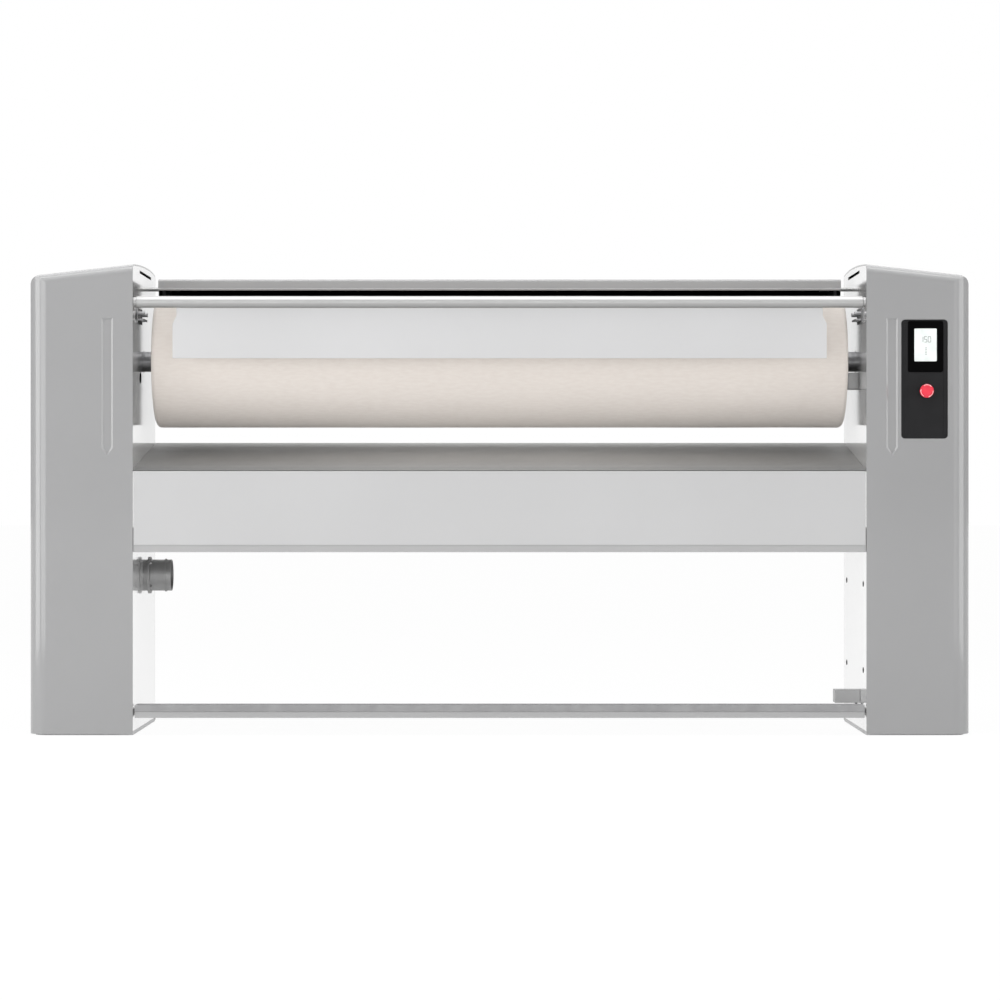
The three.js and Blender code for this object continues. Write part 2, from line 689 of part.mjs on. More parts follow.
function skid() {
  const inset = COVER_WALL + SKID_INSET;
  const plan = [
    [WALL_X, REAR_Y - inset],
    [WALL_X, FRONT_Y + inset],
    ...arc(CABINET_X - CORNER_R, FRONT_Y + CORNER_R, CORNER_R - inset, 270, 360, 4),
    [CABINET_X - inset, REAR_Y - inset],
  ];
  return prismZ(plan, 0, SKID_HEIGHT);
}

function cabinets() {
  for (const side of SIDES) {
    const name = sideName(side);
    put(name + "_base_skid", onSide(skid(), side), PANEL_PAINT);
    put(name + "_inner_wall", onSide(wall(side), side), STAINLESS);
    const shell = cover();
    const front = side > 0
      ? cut(shell, prismY(panelOutline(SEAT), FRONT_Y - CUT, FRONT_Y + COVER_WALL + CUT))
      : shell;
    put(name + "_cover", onSide(front, side), COVER_PAINT);
    put(name + "_rear_cover", onSide(rearCover(side), side), COVER_PAINT);
  }
}

// ---------------------------------------------------------------- beams, panel and tray
const INSIDE = WALL_X - SEAT; // half length of what lies between the walls

function beam(y, z) {
  const outer = block(-INSIDE, INSIDE, y, y + BEAM, z, z + BEAM);
  const bore = block(
    -INSIDE - CUT, INSIDE + CUT, y + BEAM_WALL, y + BEAM - BEAM_WALL, z + BEAM_WALL, z + BEAM - BEAM_WALL,
  );
  return cut(outer, bore);
}

// Height of the upper side of the tray.
const trayTop = (y) => TRAY_FRONT + (TRAY_FALL * (y - FRONT_Y)) / (REAR_Y - FRONT_Y);

function returnTray() {
  const rear = REAR_Y - SEAT;
  return prismX(
    [
      [FRONT_Y, TRAY_FRONT],
      [FRONT_Y, TRAY_FRONT - TRAY_EDGE],
      [FRONT_Y + SHEET, trayTop(FRONT_Y + SHEET) - SHEET],
      [rear - SHEET, trayTop(rear - SHEET) - SHEET],
      [rear - SHEET, trayTop(rear) - TRAY_HEM],
      [rear, trayTop(rear) - TRAY_HEM],
      [rear, trayTop(rear)],
    ],
    -INSIDE,
    INSIDE,
  );
}

function frontPanel() {
  const end = WALL_X - PANEL_SHORT;
  const top = TRAY_FRONT - SHEET - SEAT;
  return prismX(
    [
      [FRONT_Y, PANEL_LOW],
      [FRONT_Y + SHEET, PANEL_LOW],
      [FRONT_Y + SHEET, top - SHEET],
      [FRONT_Y + PANEL_HEM, trayTop(FRONT_Y + PANEL_HEM) - 2 * SHEET - SEAT],
      [FRONT_Y + PANEL_HEM, trayTop(FRONT_Y + PANEL_HEM) - SHEET - SEAT],
      [FRONT_Y + SHEET, trayTop(FRONT_Y + SHEET) - SHEET - SEAT],
      [FRONT_Y, top],
    ],
    -end,
    end,
  );
}

function middle() {
  const rearBeamTop = trayTop(REAR_Y - BEAM - TRAY_HEM) - SHEET - SEAT;
  put("front_beam", beam(FRONT_Y + SHEET + SEAT, PANEL_LOW - BEAM_DROP), PANEL_PAINT);
  put("rear_beam", beam(REAR_Y - BEAM - TRAY_HEM, rearBeamTop - BEAM), PANEL_PAINT);
  put("front_panel", frontPanel(), PANEL_PAINT);
  put("return_tray", returnTray(), TRAY_PAINT);
}

// ---------------------------------------------------------------- roll
function roll() {
  const tubeOuter = ROLL_RADIUS - PADDING;
  const tubeInner = tubeOuter - TUBE_WALL;
  put("roll_tube", ringX(tubeOuter, tubeInner, -ROLL_END, ROLL_END, ROLL_Y, ROLL_Z, ROLL_SIDES), STEEL);
  put(
    "roll_padding",
    ringX(ROLL_RADIUS, tubeOuter + SEAT, -ROLL_END, ROLL_END, ROLL_Y, ROLL_Z, ROLL_SIDES),
    CLOTH,
  );
  for (const side of SIDES) {
    const name = sideName(side);
    const reach = WALL_X + (side > 0 ? JOURNAL_REACH_RIGHT : JOURNAL_REACH_LEFT);
    const inner = ROLL_END - DISC_IN - END_DISC;
    const disc = rodX(tubeInner - SEAT, inner, inner + END_DISC, ROLL_Y, ROLL_Z, ROLL_SIDES);
    const shaft = rodX(JOURNAL_RADIUS, inner, reach, ROLL_Y, ROLL_Z);
    const bore = rodX(JOURNAL_BORE, inner - CUT, reach + CUT, ROLL_Y, ROLL_Z, 16);
    put("roll_journal_" + name, onSide(cut(join(disc, shaft), bore), side), STEEL);
    put("bearing_" + name, onSide(bearing(), side), CAST);
  }
}

// A flanged bearing housing on the inside of the cabinet, with its four screw heads.
function bearing() {
  const x = WALL_BACK + SEAT;
  const half = BEARING_FLANGE / 2;
  const outline = roundedRect(
    ROLL_Y - half, ROLL_Y + half, ROLL_Z - half, ROLL_Z + half, BEARING_CORNER, 2,
  );
  const parts = [
    prismX(outline, x, x + BEARING_FOOT),
    rodX(BEARING_RADIUS, x, x + BEARING_LENGTH, ROLL_Y, ROLL_Z),
  ];
  const place = half - 2 * BOLT_RADIUS;
  for (const dy of [-place, place]) {
    for (const dz of [-place, place]) {
      parts.push(rodX(BOLT_RADIUS, x, x + BEARING_FOOT + BOLT_HEAD, ROLL_Y + dy, ROLL_Z + dz, 6));
    }
  }
  return cut(join(...parts), rodX(JOURNAL_RADIUS + RUN, x - CUT, x + BEARING_LENGTH + CUT, ROLL_Y, ROLL_Z));
}

// ---------------------------------------------------------------- chain drive
const pitchRadius = (teeth) => CHAIN_PITCH / 2 / Math.sin(Math.PI / teeth);
const tipRadius = (teeth) => pitchRadius(teeth) + TOOTH / 2;
const SPROCKET_X = WALL_X + SPROCKET_FROM_WALL;
const MOTOR_Z = ROLL_Z - CHAIN_CENTRES;

function sprocket(teeth, z, bore) {
  const tip = tipRadius(teeth);
  const tooth = [[0, tip - TOOTH], [TOOTH_RISE, tip], [TOOTH_FALL, tip]];
  const points = [];
  for (let i = 0; i < teeth; i++) {
    for (const [share, radius] of tooth) {
      const t = (2 * Math.PI * (i + share)) / teeth;
      points.push([ROLL_Y + radius * Math.cos(t), z + radius * Math.sin(t)]);
    }
  }
  const wheel = prismX(points, SPROCKET_X, SPROCKET_X + SPROCKET_WIDTH);
  return cut(wheel, rodX(bore, SPROCKET_X - CUT, SPROCKET_X + SPROCKET_WIDTH + CUT, ROLL_Y, z));
}

// The chain as a band that runs round both sprockets, just outside their teeth.
function chain() {
  const loop = (grow) => {
    const upper = tipRadius(ROLL_TEETH) + grow;
    const lower = tipRadius(MOTOR_TEETH) + grow;
    const lean = THREE.MathUtils.radToDeg(Math.asin((upper - lower) / CHAIN_CENTRES));
    return [
      ...arc(ROLL_Y, ROLL_Z, upper, -lean, 180 + lean, 24),
      ...arc(ROLL_Y, MOTOR_Z, lower, 180 + lean, 360 - lean, 10),
    ];
  };
  return cut(
    prismX(loop(RUN + CHAIN_THICK), SPROCKET_X + 1, SPROCKET_X + SPROCKET_WIDTH - 1),
    prismX(loop(RUN), SPROCKET_X - CUT, SPROCKET_X + SPROCKET_WIDTH + CUT),
  );
}

function drive() {
  const x0 = SPROCKET_X + SPROCKET_WIDTH + GEARBOX_CLEAR;
  const x1 = x0 + GEARBOX_WIDTH;
  const shaftEnd = x0 + SHAFT_IN_GEARBOX;
  const low = MOTOR_Z - GEARBOX / 2;
  const y0 = ROLL_Y - GEARBOX_DEPTH / 2;
  const y1 = y0 + GEARBOX_DEPTH;
  put("roll_sprocket", sprocket(ROLL_TEETH, ROLL_Z, JOURNAL_RADIUS + SEAT), CAST);
  put("drive_chain", chain(), CAST);
  const pinion = join(
    sprocket(MOTOR_TEETH, MOTOR_Z, 1),
    rodX(MOTOR_SHAFT, SPROCKET_X, shaftEnd, ROLL_Y, MOTOR_Z, 16),
  );
  put("motor_sprocket", pinion, STEEL);
  const housing = join(
    block(x0, x1, y0, y1, low, low + GEARBOX),
    rodX(GEARBOX_BOSS, x0 - BOSS_INNER, x1 + BOSS_OUTER, ROLL_Y, MOTOR_Z),
  );
  const shaftBore = rodX(MOTOR_SHAFT + RUN, x0 - CUT, shaftEnd + RUN, ROLL_Y, MOTOR_Z, 16);
  put("gearbox", cut(housing, shaftBore), ALUMINIUM);
  driveMotor((x0 + x1) / 2, low - SEAT);
  const bore = rodZ(MOTOR_BODY + RUN, (x0 + x1) / 2, ROLL_Y, low - BRACKET - 2 * CUT, low + CUT);
  const foot = WALL_BACK + SEAT;
  const top = low - SEAT;
  const bracket = join(
    cut(block(foot, x1, y0, y1, top - BRACKET, top), bore),
    block(foot, foot + BRACKET, y0, y1, top - BRACKET_FOOT, top),
  );
  put("motor_bracket", bracket, STEEL);
}

function driveMotor(x, top) {
  const parts = [rodZ(MOTOR_BODY, x, ROLL_Y, top - MOTOR_LENGTH, top)];
  for (let i = 0; i < FINS; i++) {
    const fin = new THREE.BoxGeometry(FIN_DEEP, FIN_THICK, MOTOR_LENGTH - FIN_SHORT);
    fin.translate(MOTOR_BODY, 0, 0).rotateZ((2 * Math.PI * i) / FINS);
    parts.push(solid(fin.translate(x, ROLL_Y, top - MOTOR_LENGTH / 2 - FIN_DOWN)));
  }
  put("drive_motor", join(...parts), ALUMINIUM);
}

// ---------------------------------------------------------------- heated chest
// The centre that the chest is bent round, which moves away from the roll as it opens.
const OPEN_CENTRE = new THREE.Vector2(ROLL_Y, ROLL_Z).rotateAround(
  new THREE.Vector2(PIVOT_Y, PIVOT_Z), CHEST_OPEN,
);
const OPEN_DEG = THREE.MathUtils.radToDeg(CHEST_OPEN);
const ARC_LOW = CHEST_LOW + OPEN_DEG;
const ARC_HIGH = CHEST_HIGH + OPEN_DEG;

const chestArc = (radius, from, to, steps = CHEST_STEPS) =>
  arc(OPEN_CENTRE.x, OPEN_CENTRE.y, radius, from, to, steps);

const bentPlate = (inner, outer, from, to, half) =>
  prismX([...chestArc(outer, from, to), ...chestArc(inner, to, from)], -half, half);

// One tubular heater that runs to and fro along the back of the chest.
function heatingElement(half) {
  const radius = CHEST_OUTER + ELEMENT_CLEAR + ELEMENT_RADIUS;
  const turns = ELEMENT_RUNS - 1;
  const first = (ARC_LOW + ARC_HIGH - ELEMENT_PITCH * turns) / 2;
  const spots = chestArc(radius, first, first + ELEMENT_PITCH * turns, 2 * turns);
  const parts = [];
  spots.forEach(([y, z], i) => {
    if (i % 2 === 0) parts.push(rodX(ELEMENT_RADIUS, -half, half, y, z, 6));
    if (i === 0) return;
    const [y0, z0] = spots[i - 1];
    const end = Math.ceil(i / 2) % 2 ? half - ELEMENT_RADIUS : ELEMENT_RADIUS - half;
    const length = Math.hypot(y - y0, z - z0) + ELEMENT_RADIUS / 2;
    const bend = new THREE.CylinderGeometry(ELEMENT_RADIUS, ELEMENT_RADIUS, length, 6);
    bend.rotateX(Math.atan2(z - z0, y - y0));
    parts.push(solid(bend.translate(end, (y + y0) / 2, (z + z0) / 2)));
  });
  return join(...parts);
}

const RIB_OUTER = ROLL_END - SEAT - RIB_INSET;

function rib() {
  const inner = CHEST_OUTER + SEAT;
  const under = HOOD_TOP - HOOD_SHEET - SEAT;
  const back = HOOD_REAR - HOOD_SHEET - SEAT;
  const curve = chestArc(inner, ARC_LOW + 3, ARC_HIGH + 2);
  const low = curve[0];
  return cut(
    prismX(
      [
        ...curve,
        [LIP_Y + RIB_FRONT, LIP_LOW - LIP_CLEAR],
        [LIP_Y + RIB_FRONT, under],
        ...arc(back - HOOD_CORNER_R, under - HOOD_CORNER_R, HOOD_CORNER_R, 90, 0, 4),
        [back, low[1] + RIB_RISE],
        [low[0] + RIB_TAIL, low[1] + RIB_TAIL_RISE],
      ],
      RIB_OUTER - RIB,
      RIB_OUTER,
    ),
    rodX(PIVOT_RADIUS + SEAT, RIB_OUTER - RIB - CUT, RIB_OUTER + CUT, PIVOT_Y, PIVOT_Z, 20),
  );
}

// The hood is one folded sheet: a hem, the lip, the flat top, the back and a hem again.
function hood() {
  const line = (t) => [
    [LIP_Y + LIP_FLANGE, LIP_LOW + t],
    [LIP_Y + t, LIP_LOW + t],
    ...arc(LIP_Y + HOOD_LIP_R, HOOD_TOP - HOOD_LIP_R, HOOD_LIP_R - t, 180, 90, 4),
    ...arc(HOOD_REAR - HOOD_CORNER_R, HOOD_TOP - HOOD_CORNER_R, HOOD_CORNER_R - t, 90, 0, 5),
    [HOOD_REAR - t, HOOD_LOW + t],
    [HOOD_REAR - LIP_FLANGE, HOOD_LOW + t],
  ];
  return prismX([...line(0), ...line(HOOD_SHEET).reverse()], -ROLL_END + SEAT, ROLL_END - SEAT);
}

const LEVER_X = WALL_X + LEVER_FROM_WALL;
const ROD_Z = PIVOT_Z - LEVER_LENGTH;
const LEVER_FRONT = PIVOT_Y - LEVER_WIDTH / 2;

function chest() {
  const between = RIB_OUTER - RIB - SEAT;
  const plate = bentPlate(CHEST_INNER, CHEST_OUTER, ARC_LOW, ARC_HIGH, ROLL_END - RIB_INSET);
  put("heated_chest", plate, ALUMINIUM);
  put("heating_element", heatingElement(between - ELEMENT_SHORT), STEEL);
  const blanket = bentPlate(BLANKET_INNER, BLANKET_OUTER, ARC_LOW + BLANKET_SHORT, ARC_HIGH - 4, between);
  put("chest_insulation", blanket, FELT);
  put("chest_hood", hood(), COVER_PAINT);
  for (const side of SIDES) {
    const name = sideName(side);
    const reach = side < 0 ? LEVER_X + LEVER_PLATE + PIVOT_PAST_LEVER : WALL_BACK + PIVOT_PAST_WALL;
    const pin = rodX(PIVOT_RADIUS, RIB_OUTER - PIVOT_INWARD, reach, PIVOT_Y, PIVOT_Z, 20);
    put("chest_rib_" + name, onSide(rib(), side), STEEL);
    put("chest_pivot_" + name, onSide(pin, side), STEEL);
  }
}

// The lever on the left pivot, and the cylinder whose rod pulls it to press the chest on.
function press() {
  const half = LEVER_WIDTH / 2;
  const lever = cut(
    join(
      block(LEVER_X, LEVER_X + LEVER_PLATE, LEVER_FRONT, LEVER_FRONT + LEVER_WIDTH, ROD_Z - half, PIVOT_Z),
      rodX(LEVER_EYE, LEVER_X, LEVER_X + LEVER_PLATE, PIVOT_Y, PIVOT_Z, 20),
    ),
    rodX(PIVOT_RADIUS + SEAT, LEVER_X - CUT, LEVER_X + LEVER_PLATE + CUT, PIVOT_Y, PIVOT_Z, 20),
  );
  put("press_lever", mirrored(lever), STEEL);
  const rodEnd = LEVER_FRONT - SEAT;
  const middleX = LEVER_X + LEVER_PLATE / 2;
  const rod = rodY(ROD_RADIUS, middleX, rodEnd - ROD_LENGTH, rodEnd, ROD_Z, 16);
  put("press_rod", mirrored(rod), STEEL);
  const mouth = rodEnd - ROD_LENGTH + PRESS_OVERLAP;
  const tail = mouth - PRESS_LENGTH;
  const foot = block(
    WALL_BACK + SEAT, middleX, tail + PRESS_FOOT_IN, mouth - PRESS_FOOT_IN,
    ROD_Z - PRESS_FOOT, ROD_Z + PRESS_FOOT,
  );
  const body = join(rodY(PRESS_RADIUS, middleX, tail, mouth, ROD_Z), foot);
  const boreEnd = mouth - PRESS_OVERLAP - PRESS_BORE_PAST;
  const bore = rodY(ROD_RADIUS + RUN, middleX, boreEnd, mouth + CUT, ROD_Z, 16);
  put("press_cylinder", mirrored(cut(body, bore)), ALUMINIUM);
}

// ---------------------------------------------------------------- suction fan, left side
const FAN_X = WALL_X + FAN_FROM_WALL;
const FAN_Z = STUB_Z - FAN_OUTLET / 2 + FAN_RADIUS;
const FAN_FRONT = STUB_Y - FAN_DEPTH / 2;
const FAN_BACK = STUB_Y + FAN_DEPTH / 2;

function fan() {
  const x0 = WALL_BACK + SEAT;
  const motorFront = FAN_BACK + SEAT;
  const volute = (t) => {
    const half = FAN_OUTLET / 2 - t;
    return join(
      rodY(FAN_RADIUS - t, FAN_X, FAN_FRONT + t, FAN_BACK - t, FAN_Z),
      block(x0 + t, FAN_X, STUB_Y - half, STUB_Y + half, STUB_Z - half, STUB_Z + half),
    );
  };
  const through = FAN_SHEET + 1;
  const housing = cut(
    volute(0), volute(FAN_SHEET),
    rodX(STUB_RADIUS + RUN, WALL_X - CUT, x0 + through, STUB_Y, STUB_Z, STUB_SIDES),
    rodY(FAN_EYE, FAN_X, FAN_FRONT - CUT, FAN_FRONT + through, FAN_Z),
    rodY(FAN_SHAFT + RUN, FAN_X, FAN_BACK - through, FAN_BACK + CUT, FAN_Z, 16),
  );
  const motor = join(
    rodY(FAN_MOTOR_RADIUS, FAN_X, motorFront, FAN_BACK + FAN_MOTOR_LENGTH, FAN_Z),
    rodY(FAN_MOTOR_RADIUS + FAN_MOTOR_RIM, FAN_X, motorFront, FAN_BACK + FAN_MOTOR_RIM_THICK, FAN_Z),
  );
  const shaftEnd = FAN_BACK + FAN_SHAFT_REACH + RUN;
  const shaftBore = rodY(FAN_SHAFT + RUN, FAN_X, FAN_BACK - CUT, shaftEnd, FAN_Z, 16);
  put("fan_housing", mirrored(housing), PANEL_PAINT);
  put("fan_wheel", mirrored(fanWheel()), ALUMINIUM);
  put("fan_motor", mirrored(cut(motor, shaftBore)), CAST);
  put("suction_duct", mirrored(suctionDuct()), ALUMINIUM);
  put("exhaust_stub", mirrored(exhaustStub()), STEEL);
}

function fanWheel() {
  const back = FAN_BACK - FAN_SHEET - WHEEL_CLEAR;
  const middle = back - WHEEL_WIDTH / 2;
  const parts = [
    rodY(WHEEL_RADIUS, FAN_X, back - WHEEL_BLADE, back, FAN_Z, 30),
    rodY(FAN_SHAFT, FAN_X, middle, FAN_BACK + FAN_SHAFT_REACH, FAN_Z, 16),
  ];
  for (let i = 0; i < WHEEL_BLADES; i++) {
    const blade = new THREE.BoxGeometry(BLADE_CHORD, WHEEL_WIDTH, WHEEL_BLADE).rotateY(BLADE_SET);
    blade.translate(WHEEL_RADIUS - BLADE_CHORD / 2, 0, 0).rotateY((i * 2 * Math.PI) / WHEEL_BLADES);
    parts.push(solid(blade.translate(FAN_X, middle - 1, FAN_Z)));
  }
  return join(...parts);
}

// Leads the steam from the hollow left journal down to the eye of the fan.
function suctionDuct() {
  const top = WALL_X + JOURNAL_REACH_LEFT + SEAT;
  const run = FAN_FRONT - DUCT_IN_FRONT;
  const route = new THREE.CatmullRomCurve3(
    [
      [top, ROLL_Y, ROLL_Z],
      [top + 14, ROLL_Y, ROLL_Z],
      [FAN_X - 8, ROLL_Y - 4, ROLL_Z - 14],
      [FAN_X + 8, ROLL_Y - 14, ROLL_Z - 60],
      [FAN_X + 4, run + 26, ROLL_Z - 150],
      [FAN_X, run, FAN_Z + 180],
      [FAN_X, run - 2, FAN_Z + 80],
      [FAN_X, run + 4, FAN_Z + 26],
      [FAN_X, run + 28, FAN_Z + 3],
      [FAN_X, FAN_FRONT - 14, FAN_Z],
      [FAN_X, FAN_FRONT - SEAT, FAN_Z],
    ].map((point) => new THREE.Vector3(...point)),
    false,
    "centripetal",
  );
  const section = (radius) => {
    const points = arc(0, 0, radius, 0, 315, 7);
    return new THREE.Shape(points.map(([a, b]) => new THREE.Vector2(a, b)));
  };
  const shape = section(DUCT_RADIUS);
  shape.holes.push(section(DUCT_RADIUS - DUCT_WALL));
  const settings = { steps: 18, extrudePath: route, bevelEnabled: false };
  return solid(new THREE.ExtrudeGeometry(shape, settings));
}

function exhaustStub() {
  const x0 = WALL_X - STUB_REACH;
  const x1 = WALL_X + STUB_IN_CABINET;
  const bead = x0 + STUB_BEAD_IN;
  const back = WALL_X - STUB_FLANGE_OUT;
  const front = back - STUB_FLANGE_THICK;
  const parts = [
    rodX(STUB_RADIUS, x0, x1, STUB_Y, STUB_Z, STUB_SIDES),
    rodX(STUB_FLANGE, front, back, STUB_Y, STUB_Z, STUB_SIDES),
    rodX(STUB_RADIUS + STUB_BEAD, bead, bead + STUB_BEAD_WIDTH, STUB_Y, STUB_Z, STUB_SIDES),
  ];
  for (const [y, z] of arc(STUB_Y, STUB_Z, STUB_FLANGE - STUB_BOLT_IN, 45, 315, 3)) {
    parts.push(rodX(STUB_BOLT, front - STUB_BOLT_HEAD, back, y, z, 6));
  }
  return cut(join(...parts), rodX(STUB_RADIUS - STUB_WALL, x0 - CUT, x1 + CUT, STUB_Y, STUB_Z, STUB_SIDES));
}

// ---------------------------------------------------------------- finger guard
function guard() {
  const bushInner = WALL_X - SEAT - GUARD_BUSH_LENGTH;
  const end = bushInner - RUN;
  const pin = WALL_BACK + GUARD_PIN_REACH;
  const lug = block(
    -pin, -pin + GUARD_LUG_THICK, GUARD_Y - GUARD_LUG, GUARD_Y + GUARD_LUG, GUARD_Z - GUARD_LUG_DROP, GUARD_Z,
  );
  const bar = join(
    rodX(GUARD_RADIUS, -end, end, GUARD_Y, GUARD_Z, 28),
    rodX(GUARD_PIN, -pin, pin, GUARD_Y, GUARD_Z, 12),
    lug,
  );
  put("guard_bar", bar, ALUMINIUM);
  put("guard_plate", guardPlate(), PANEL_PAINT);
  for (const side of SIDES) {
    const name = sideName(side);
    const bush = ringX(GUARD_BUSH, GUARD_PIN + RUN, bushInner, WALL_X - SEAT, GUARD_Y, GUARD_Z, 20);
    put("guard_bush_" + name, onSide(bush, side), ALUMINIUM);
    put("guard_bracket_" + name, onSide(guardBracket(), side), STEEL);
  }
  const switchFront = GUARD_Y + GUARD_LUG + GUARD_LUG_SWING;
  const switchBody = block(
    WALL_BACK + SEAT, WALL_BACK + GUARD_SWITCH_OUT, switchFront, switchFront + GUARD_SWITCH_DEPTH,
    GUARD_Z - GUARD_SWITCH_LOW, GUARD_Z - GUARD_SWITCH_HIGH,
  );
  put("guard_switch", mirrored(switchBody), DARK);
}

function guardPlate() {
  const top = GUARD_Z - GUARD_RADIUS - SEAT;
  const narrow = GUARD_HALF - GUARD_SHOULDER;
  const shoulder = GUARD_Z - GUARD_SHOULDER_Z;
  const low = GUARD_Z - GUARD_DROP;
  return prismY(
    [
      [-GUARD_HALF, low],
      [GUARD_HALF, low],
      [GUARD_HALF, shoulder - GUARD_SLOPE],
      [narrow, shoulder],
      [narrow, top],
      [-narrow, top],
      [-narrow, shoulder],
      [-GUARD_HALF, shoulder - GUARD_SLOPE],
    ],
    GUARD_Y - GUARD_PLATE / 2,
    GUARD_Y + GUARD_PLATE / 2,
  );
}

// A bracket on the cabinet wall behind the guard: a plate with a shelf and two studs.
function guardBracket() {
  const back = WALL_X - SEAT;
  const y0 = GUARD_Y + STOP_BEHIND;
  const y1 = y0 + STOP_LENGTH;
  const shelf = GUARD_Z - STOP_SHELF_LOW;
  const parts = [
    block(back - STOP_PLATE, back, y0, y1, GUARD_Z - STOP_LOW, GUARD_Z - STOP_HIGH),
    block(WALL_X - STOP_SHELF, back, y0 + STOP_SHELF_IN, y1 - STOP_SHELF_IN, shelf, shelf + STOP_SHELF_THICK),
  ];
  for (const y of [y0 + STOP_STUD_IN, y1 - STOP_STUD_IN]) {
    parts.push(rodX(STOP_STUD, WALL_X - STOP_STUD_OUT, back, y, GUARD_Z - STOP_STUD_LOW, 12));
  }
  return join(...parts);
}

// ---------------------------------------------------------------- foot bar
const ARM_X = WALL_X - PEDAL_GAP;

function pedal() {
  const y0 = FRONT_Y;
  const y1 = FRONT_Y + PEDAL_DEPTH;
  const top = PEDAL_LOW + PEDAL_HEIGHT - TREAD;
  const skin = y0 + TREAD; // front face of the steel behind the rubber
  const channel = prismX(
    [
      [skin, PEDAL_LOW],
      [y1, PEDAL_LOW],
      [y1, PEDAL_LOW + PEDAL_SHEET],
      [skin + PEDAL_SHEET, PEDAL_LOW + PEDAL_SHEET],
      [skin + PEDAL_SHEET, top - PEDAL_SHEET - SEAT],
      [y1, top - PEDAL_SHEET - SEAT],
      [y1, top - SEAT],
      [skin, top - SEAT],
    ],
    -ARM_X,
    ARM_X,
  );
  const parts = [channel];
  for (const side of SIDES) {
    const armLow = PEDAL_AXIS_Z - PEDAL_ARM_HEIGHT / 2;
    const armTop = PEDAL_AXIS_Z + PEDAL_ARM_HEIGHT / 2;
    const arm = prismX(
      [
        [skin + PEDAL_SHEET, PEDAL_LOW + 1],
        [PEDAL_AXIS_Y + PEDAL_TAIL, armLow],
        [PEDAL_AXIS_Y + PEDAL_TAIL, armTop],
        [skin + PEDAL_SHEET, armTop],
      ],
      ARM_X - PEDAL_ARM,
      ARM_X,
    );
    const reach = WALL_BACK + PEDAL_PIN_REACH;
    const pin = rodX(PEDAL_PIN, ARM_X - PEDAL_ARM, reach, PEDAL_AXIS_Y, PEDAL_AXIS_Z, 12);
    parts.push(onSide(join(arm, pin), side));
  }
  put("pedal_bar", join(...parts), PANEL_PAINT);
  const tread = prismX(
    [
      [y0, top + TREAD - TREAD_LIP],
      [skin - SEAT, top + TREAD - TREAD_LIP],
      [skin - SEAT, top],
      [y1, top],
      [y1, top + TREAD],
      [y0, top + TREAD],
    ],
    -ARM_X,
    ARM_X,
  );
  put("pedal_tread", tread, RUBBER);
  pedalSwitch();
}

// The switch under the right end of the bar, whose plunger rests on the tail of the arm.
function pedalSwitch() {
  const plungerX = ARM_X - PEDAL_ARM / 2;
  const plungerY = PEDAL_AXIS_Y + PLUNGER_BACK;
  const plungerLow = PEDAL_AXIS_Z + PEDAL_ARM_HEIGHT / 2 + SEAT;
  const boxFront = plungerY - SWITCH_DEPTH / 2;
  const body = block(
    WALL_X - SEAT - SWITCH_WIDTH, WALL_X - SEAT, boxFront, boxFront + SWITCH_DEPTH,
    SWITCH_LOW, SWITCH_LOW + SWITCH_HEIGHT,
  );
  const plungerTop = SWITCH_LOW + PLUNGER_IN_BOX;
  const bore = rodZ(
    PLUNGER_RADIUS + RUN, plungerX, plungerY, SWITCH_LOW - CUT, plungerTop + PLUNGER_TRAVEL, 12,
  );
  const plunger = rodZ(PLUNGER_RADIUS, plungerX, plungerY, plungerLow, plungerTop, 12);
  put("pedal_switch_box", cut(body, bore), DARK);
  put("switch_plunger", plunger, STEEL);
}

// ---------------------------------------------------------------- controls
const PANEL_FACE = FRONT_Y + PANEL_RECESS;
const PANEL_BACK = PANEL_FACE + PANEL_THICK;
const DISPLAY_HIGH = PANEL_Z + PANEL_H - DISPLAY_TOP;
const DISPLAY_X = PANEL_X + (PANEL_W - DISPLAY_W) / 2 + DISPLAY_SHIFT;
const SCREEN_X = DISPLAY_X + (DISPLAY_W - SCREEN_W) / 2;
const SCREEN_HIGH = DISPLAY_HIGH - SCREEN_DROP;

// The outline of the display module and of its screen, each grown by a clearance.
const displayOutline = (grow) =>
  roundedRect(
    DISPLAY_X - grow, DISPLAY_X + DISPLAY_W + grow, DISPLAY_HIGH - DISPLAY_H - grow, DISPLAY_HIGH + grow,
    DISPLAY_R + grow, 3,
  );
const screenOutline = (grow) =>
  roundedRect(
    SCREEN_X - grow, SCREEN_X + SCREEN_W + grow, SCREEN_HIGH - SCREEN_H - grow, SCREEN_HIGH + grow, 2, 2,
  );

function controls() {
  let plate = cut(
    prismY(panelOutline(-SEAT), PANEL_FACE, PANEL_BACK),
    prismY(displayOutline(SEAT), PANEL_FACE - CUT, PANEL_BACK + CUT),
    rodY(STEM_RADIUS + RUN, BUTTON_X, PANEL_FACE - CUT, PANEL_BACK + CUT, BUTTON_Z, 20),
  );
  for (const x of [DISPLAY_X - SEAT - 1 - STRIP, DISPLAY_X + DISPLAY_W + SEAT + 1]) {
    const strip = block(
      x, x + STRIP, FRONT_Y, PANEL_FACE + 1, PANEL_Z + PANEL_R, DISPLAY_HIGH - PANEL_R,
    );
    plate = join(plate, strip);
  }
  put("control_panel", plate, DARK);
  const module = cut(
    prismY(displayOutline(0), FRONT_Y + DISPLAY_RECESS, PANEL_FACE + DISPLAY_DEEP),
    prismY(screenOutline(SEAT), PANEL_FACE - CUT, PANEL_FACE + SCREEN_DEEP),
  );
  put("display_module", module, GLOSS_BLACK);
  const screen = prismY(screenOutline(0), PANEL_FACE, PANEL_FACE + SCREEN_DEEP - SEAT);
  put("display_screen", screen, SCREEN_WHITE);
}

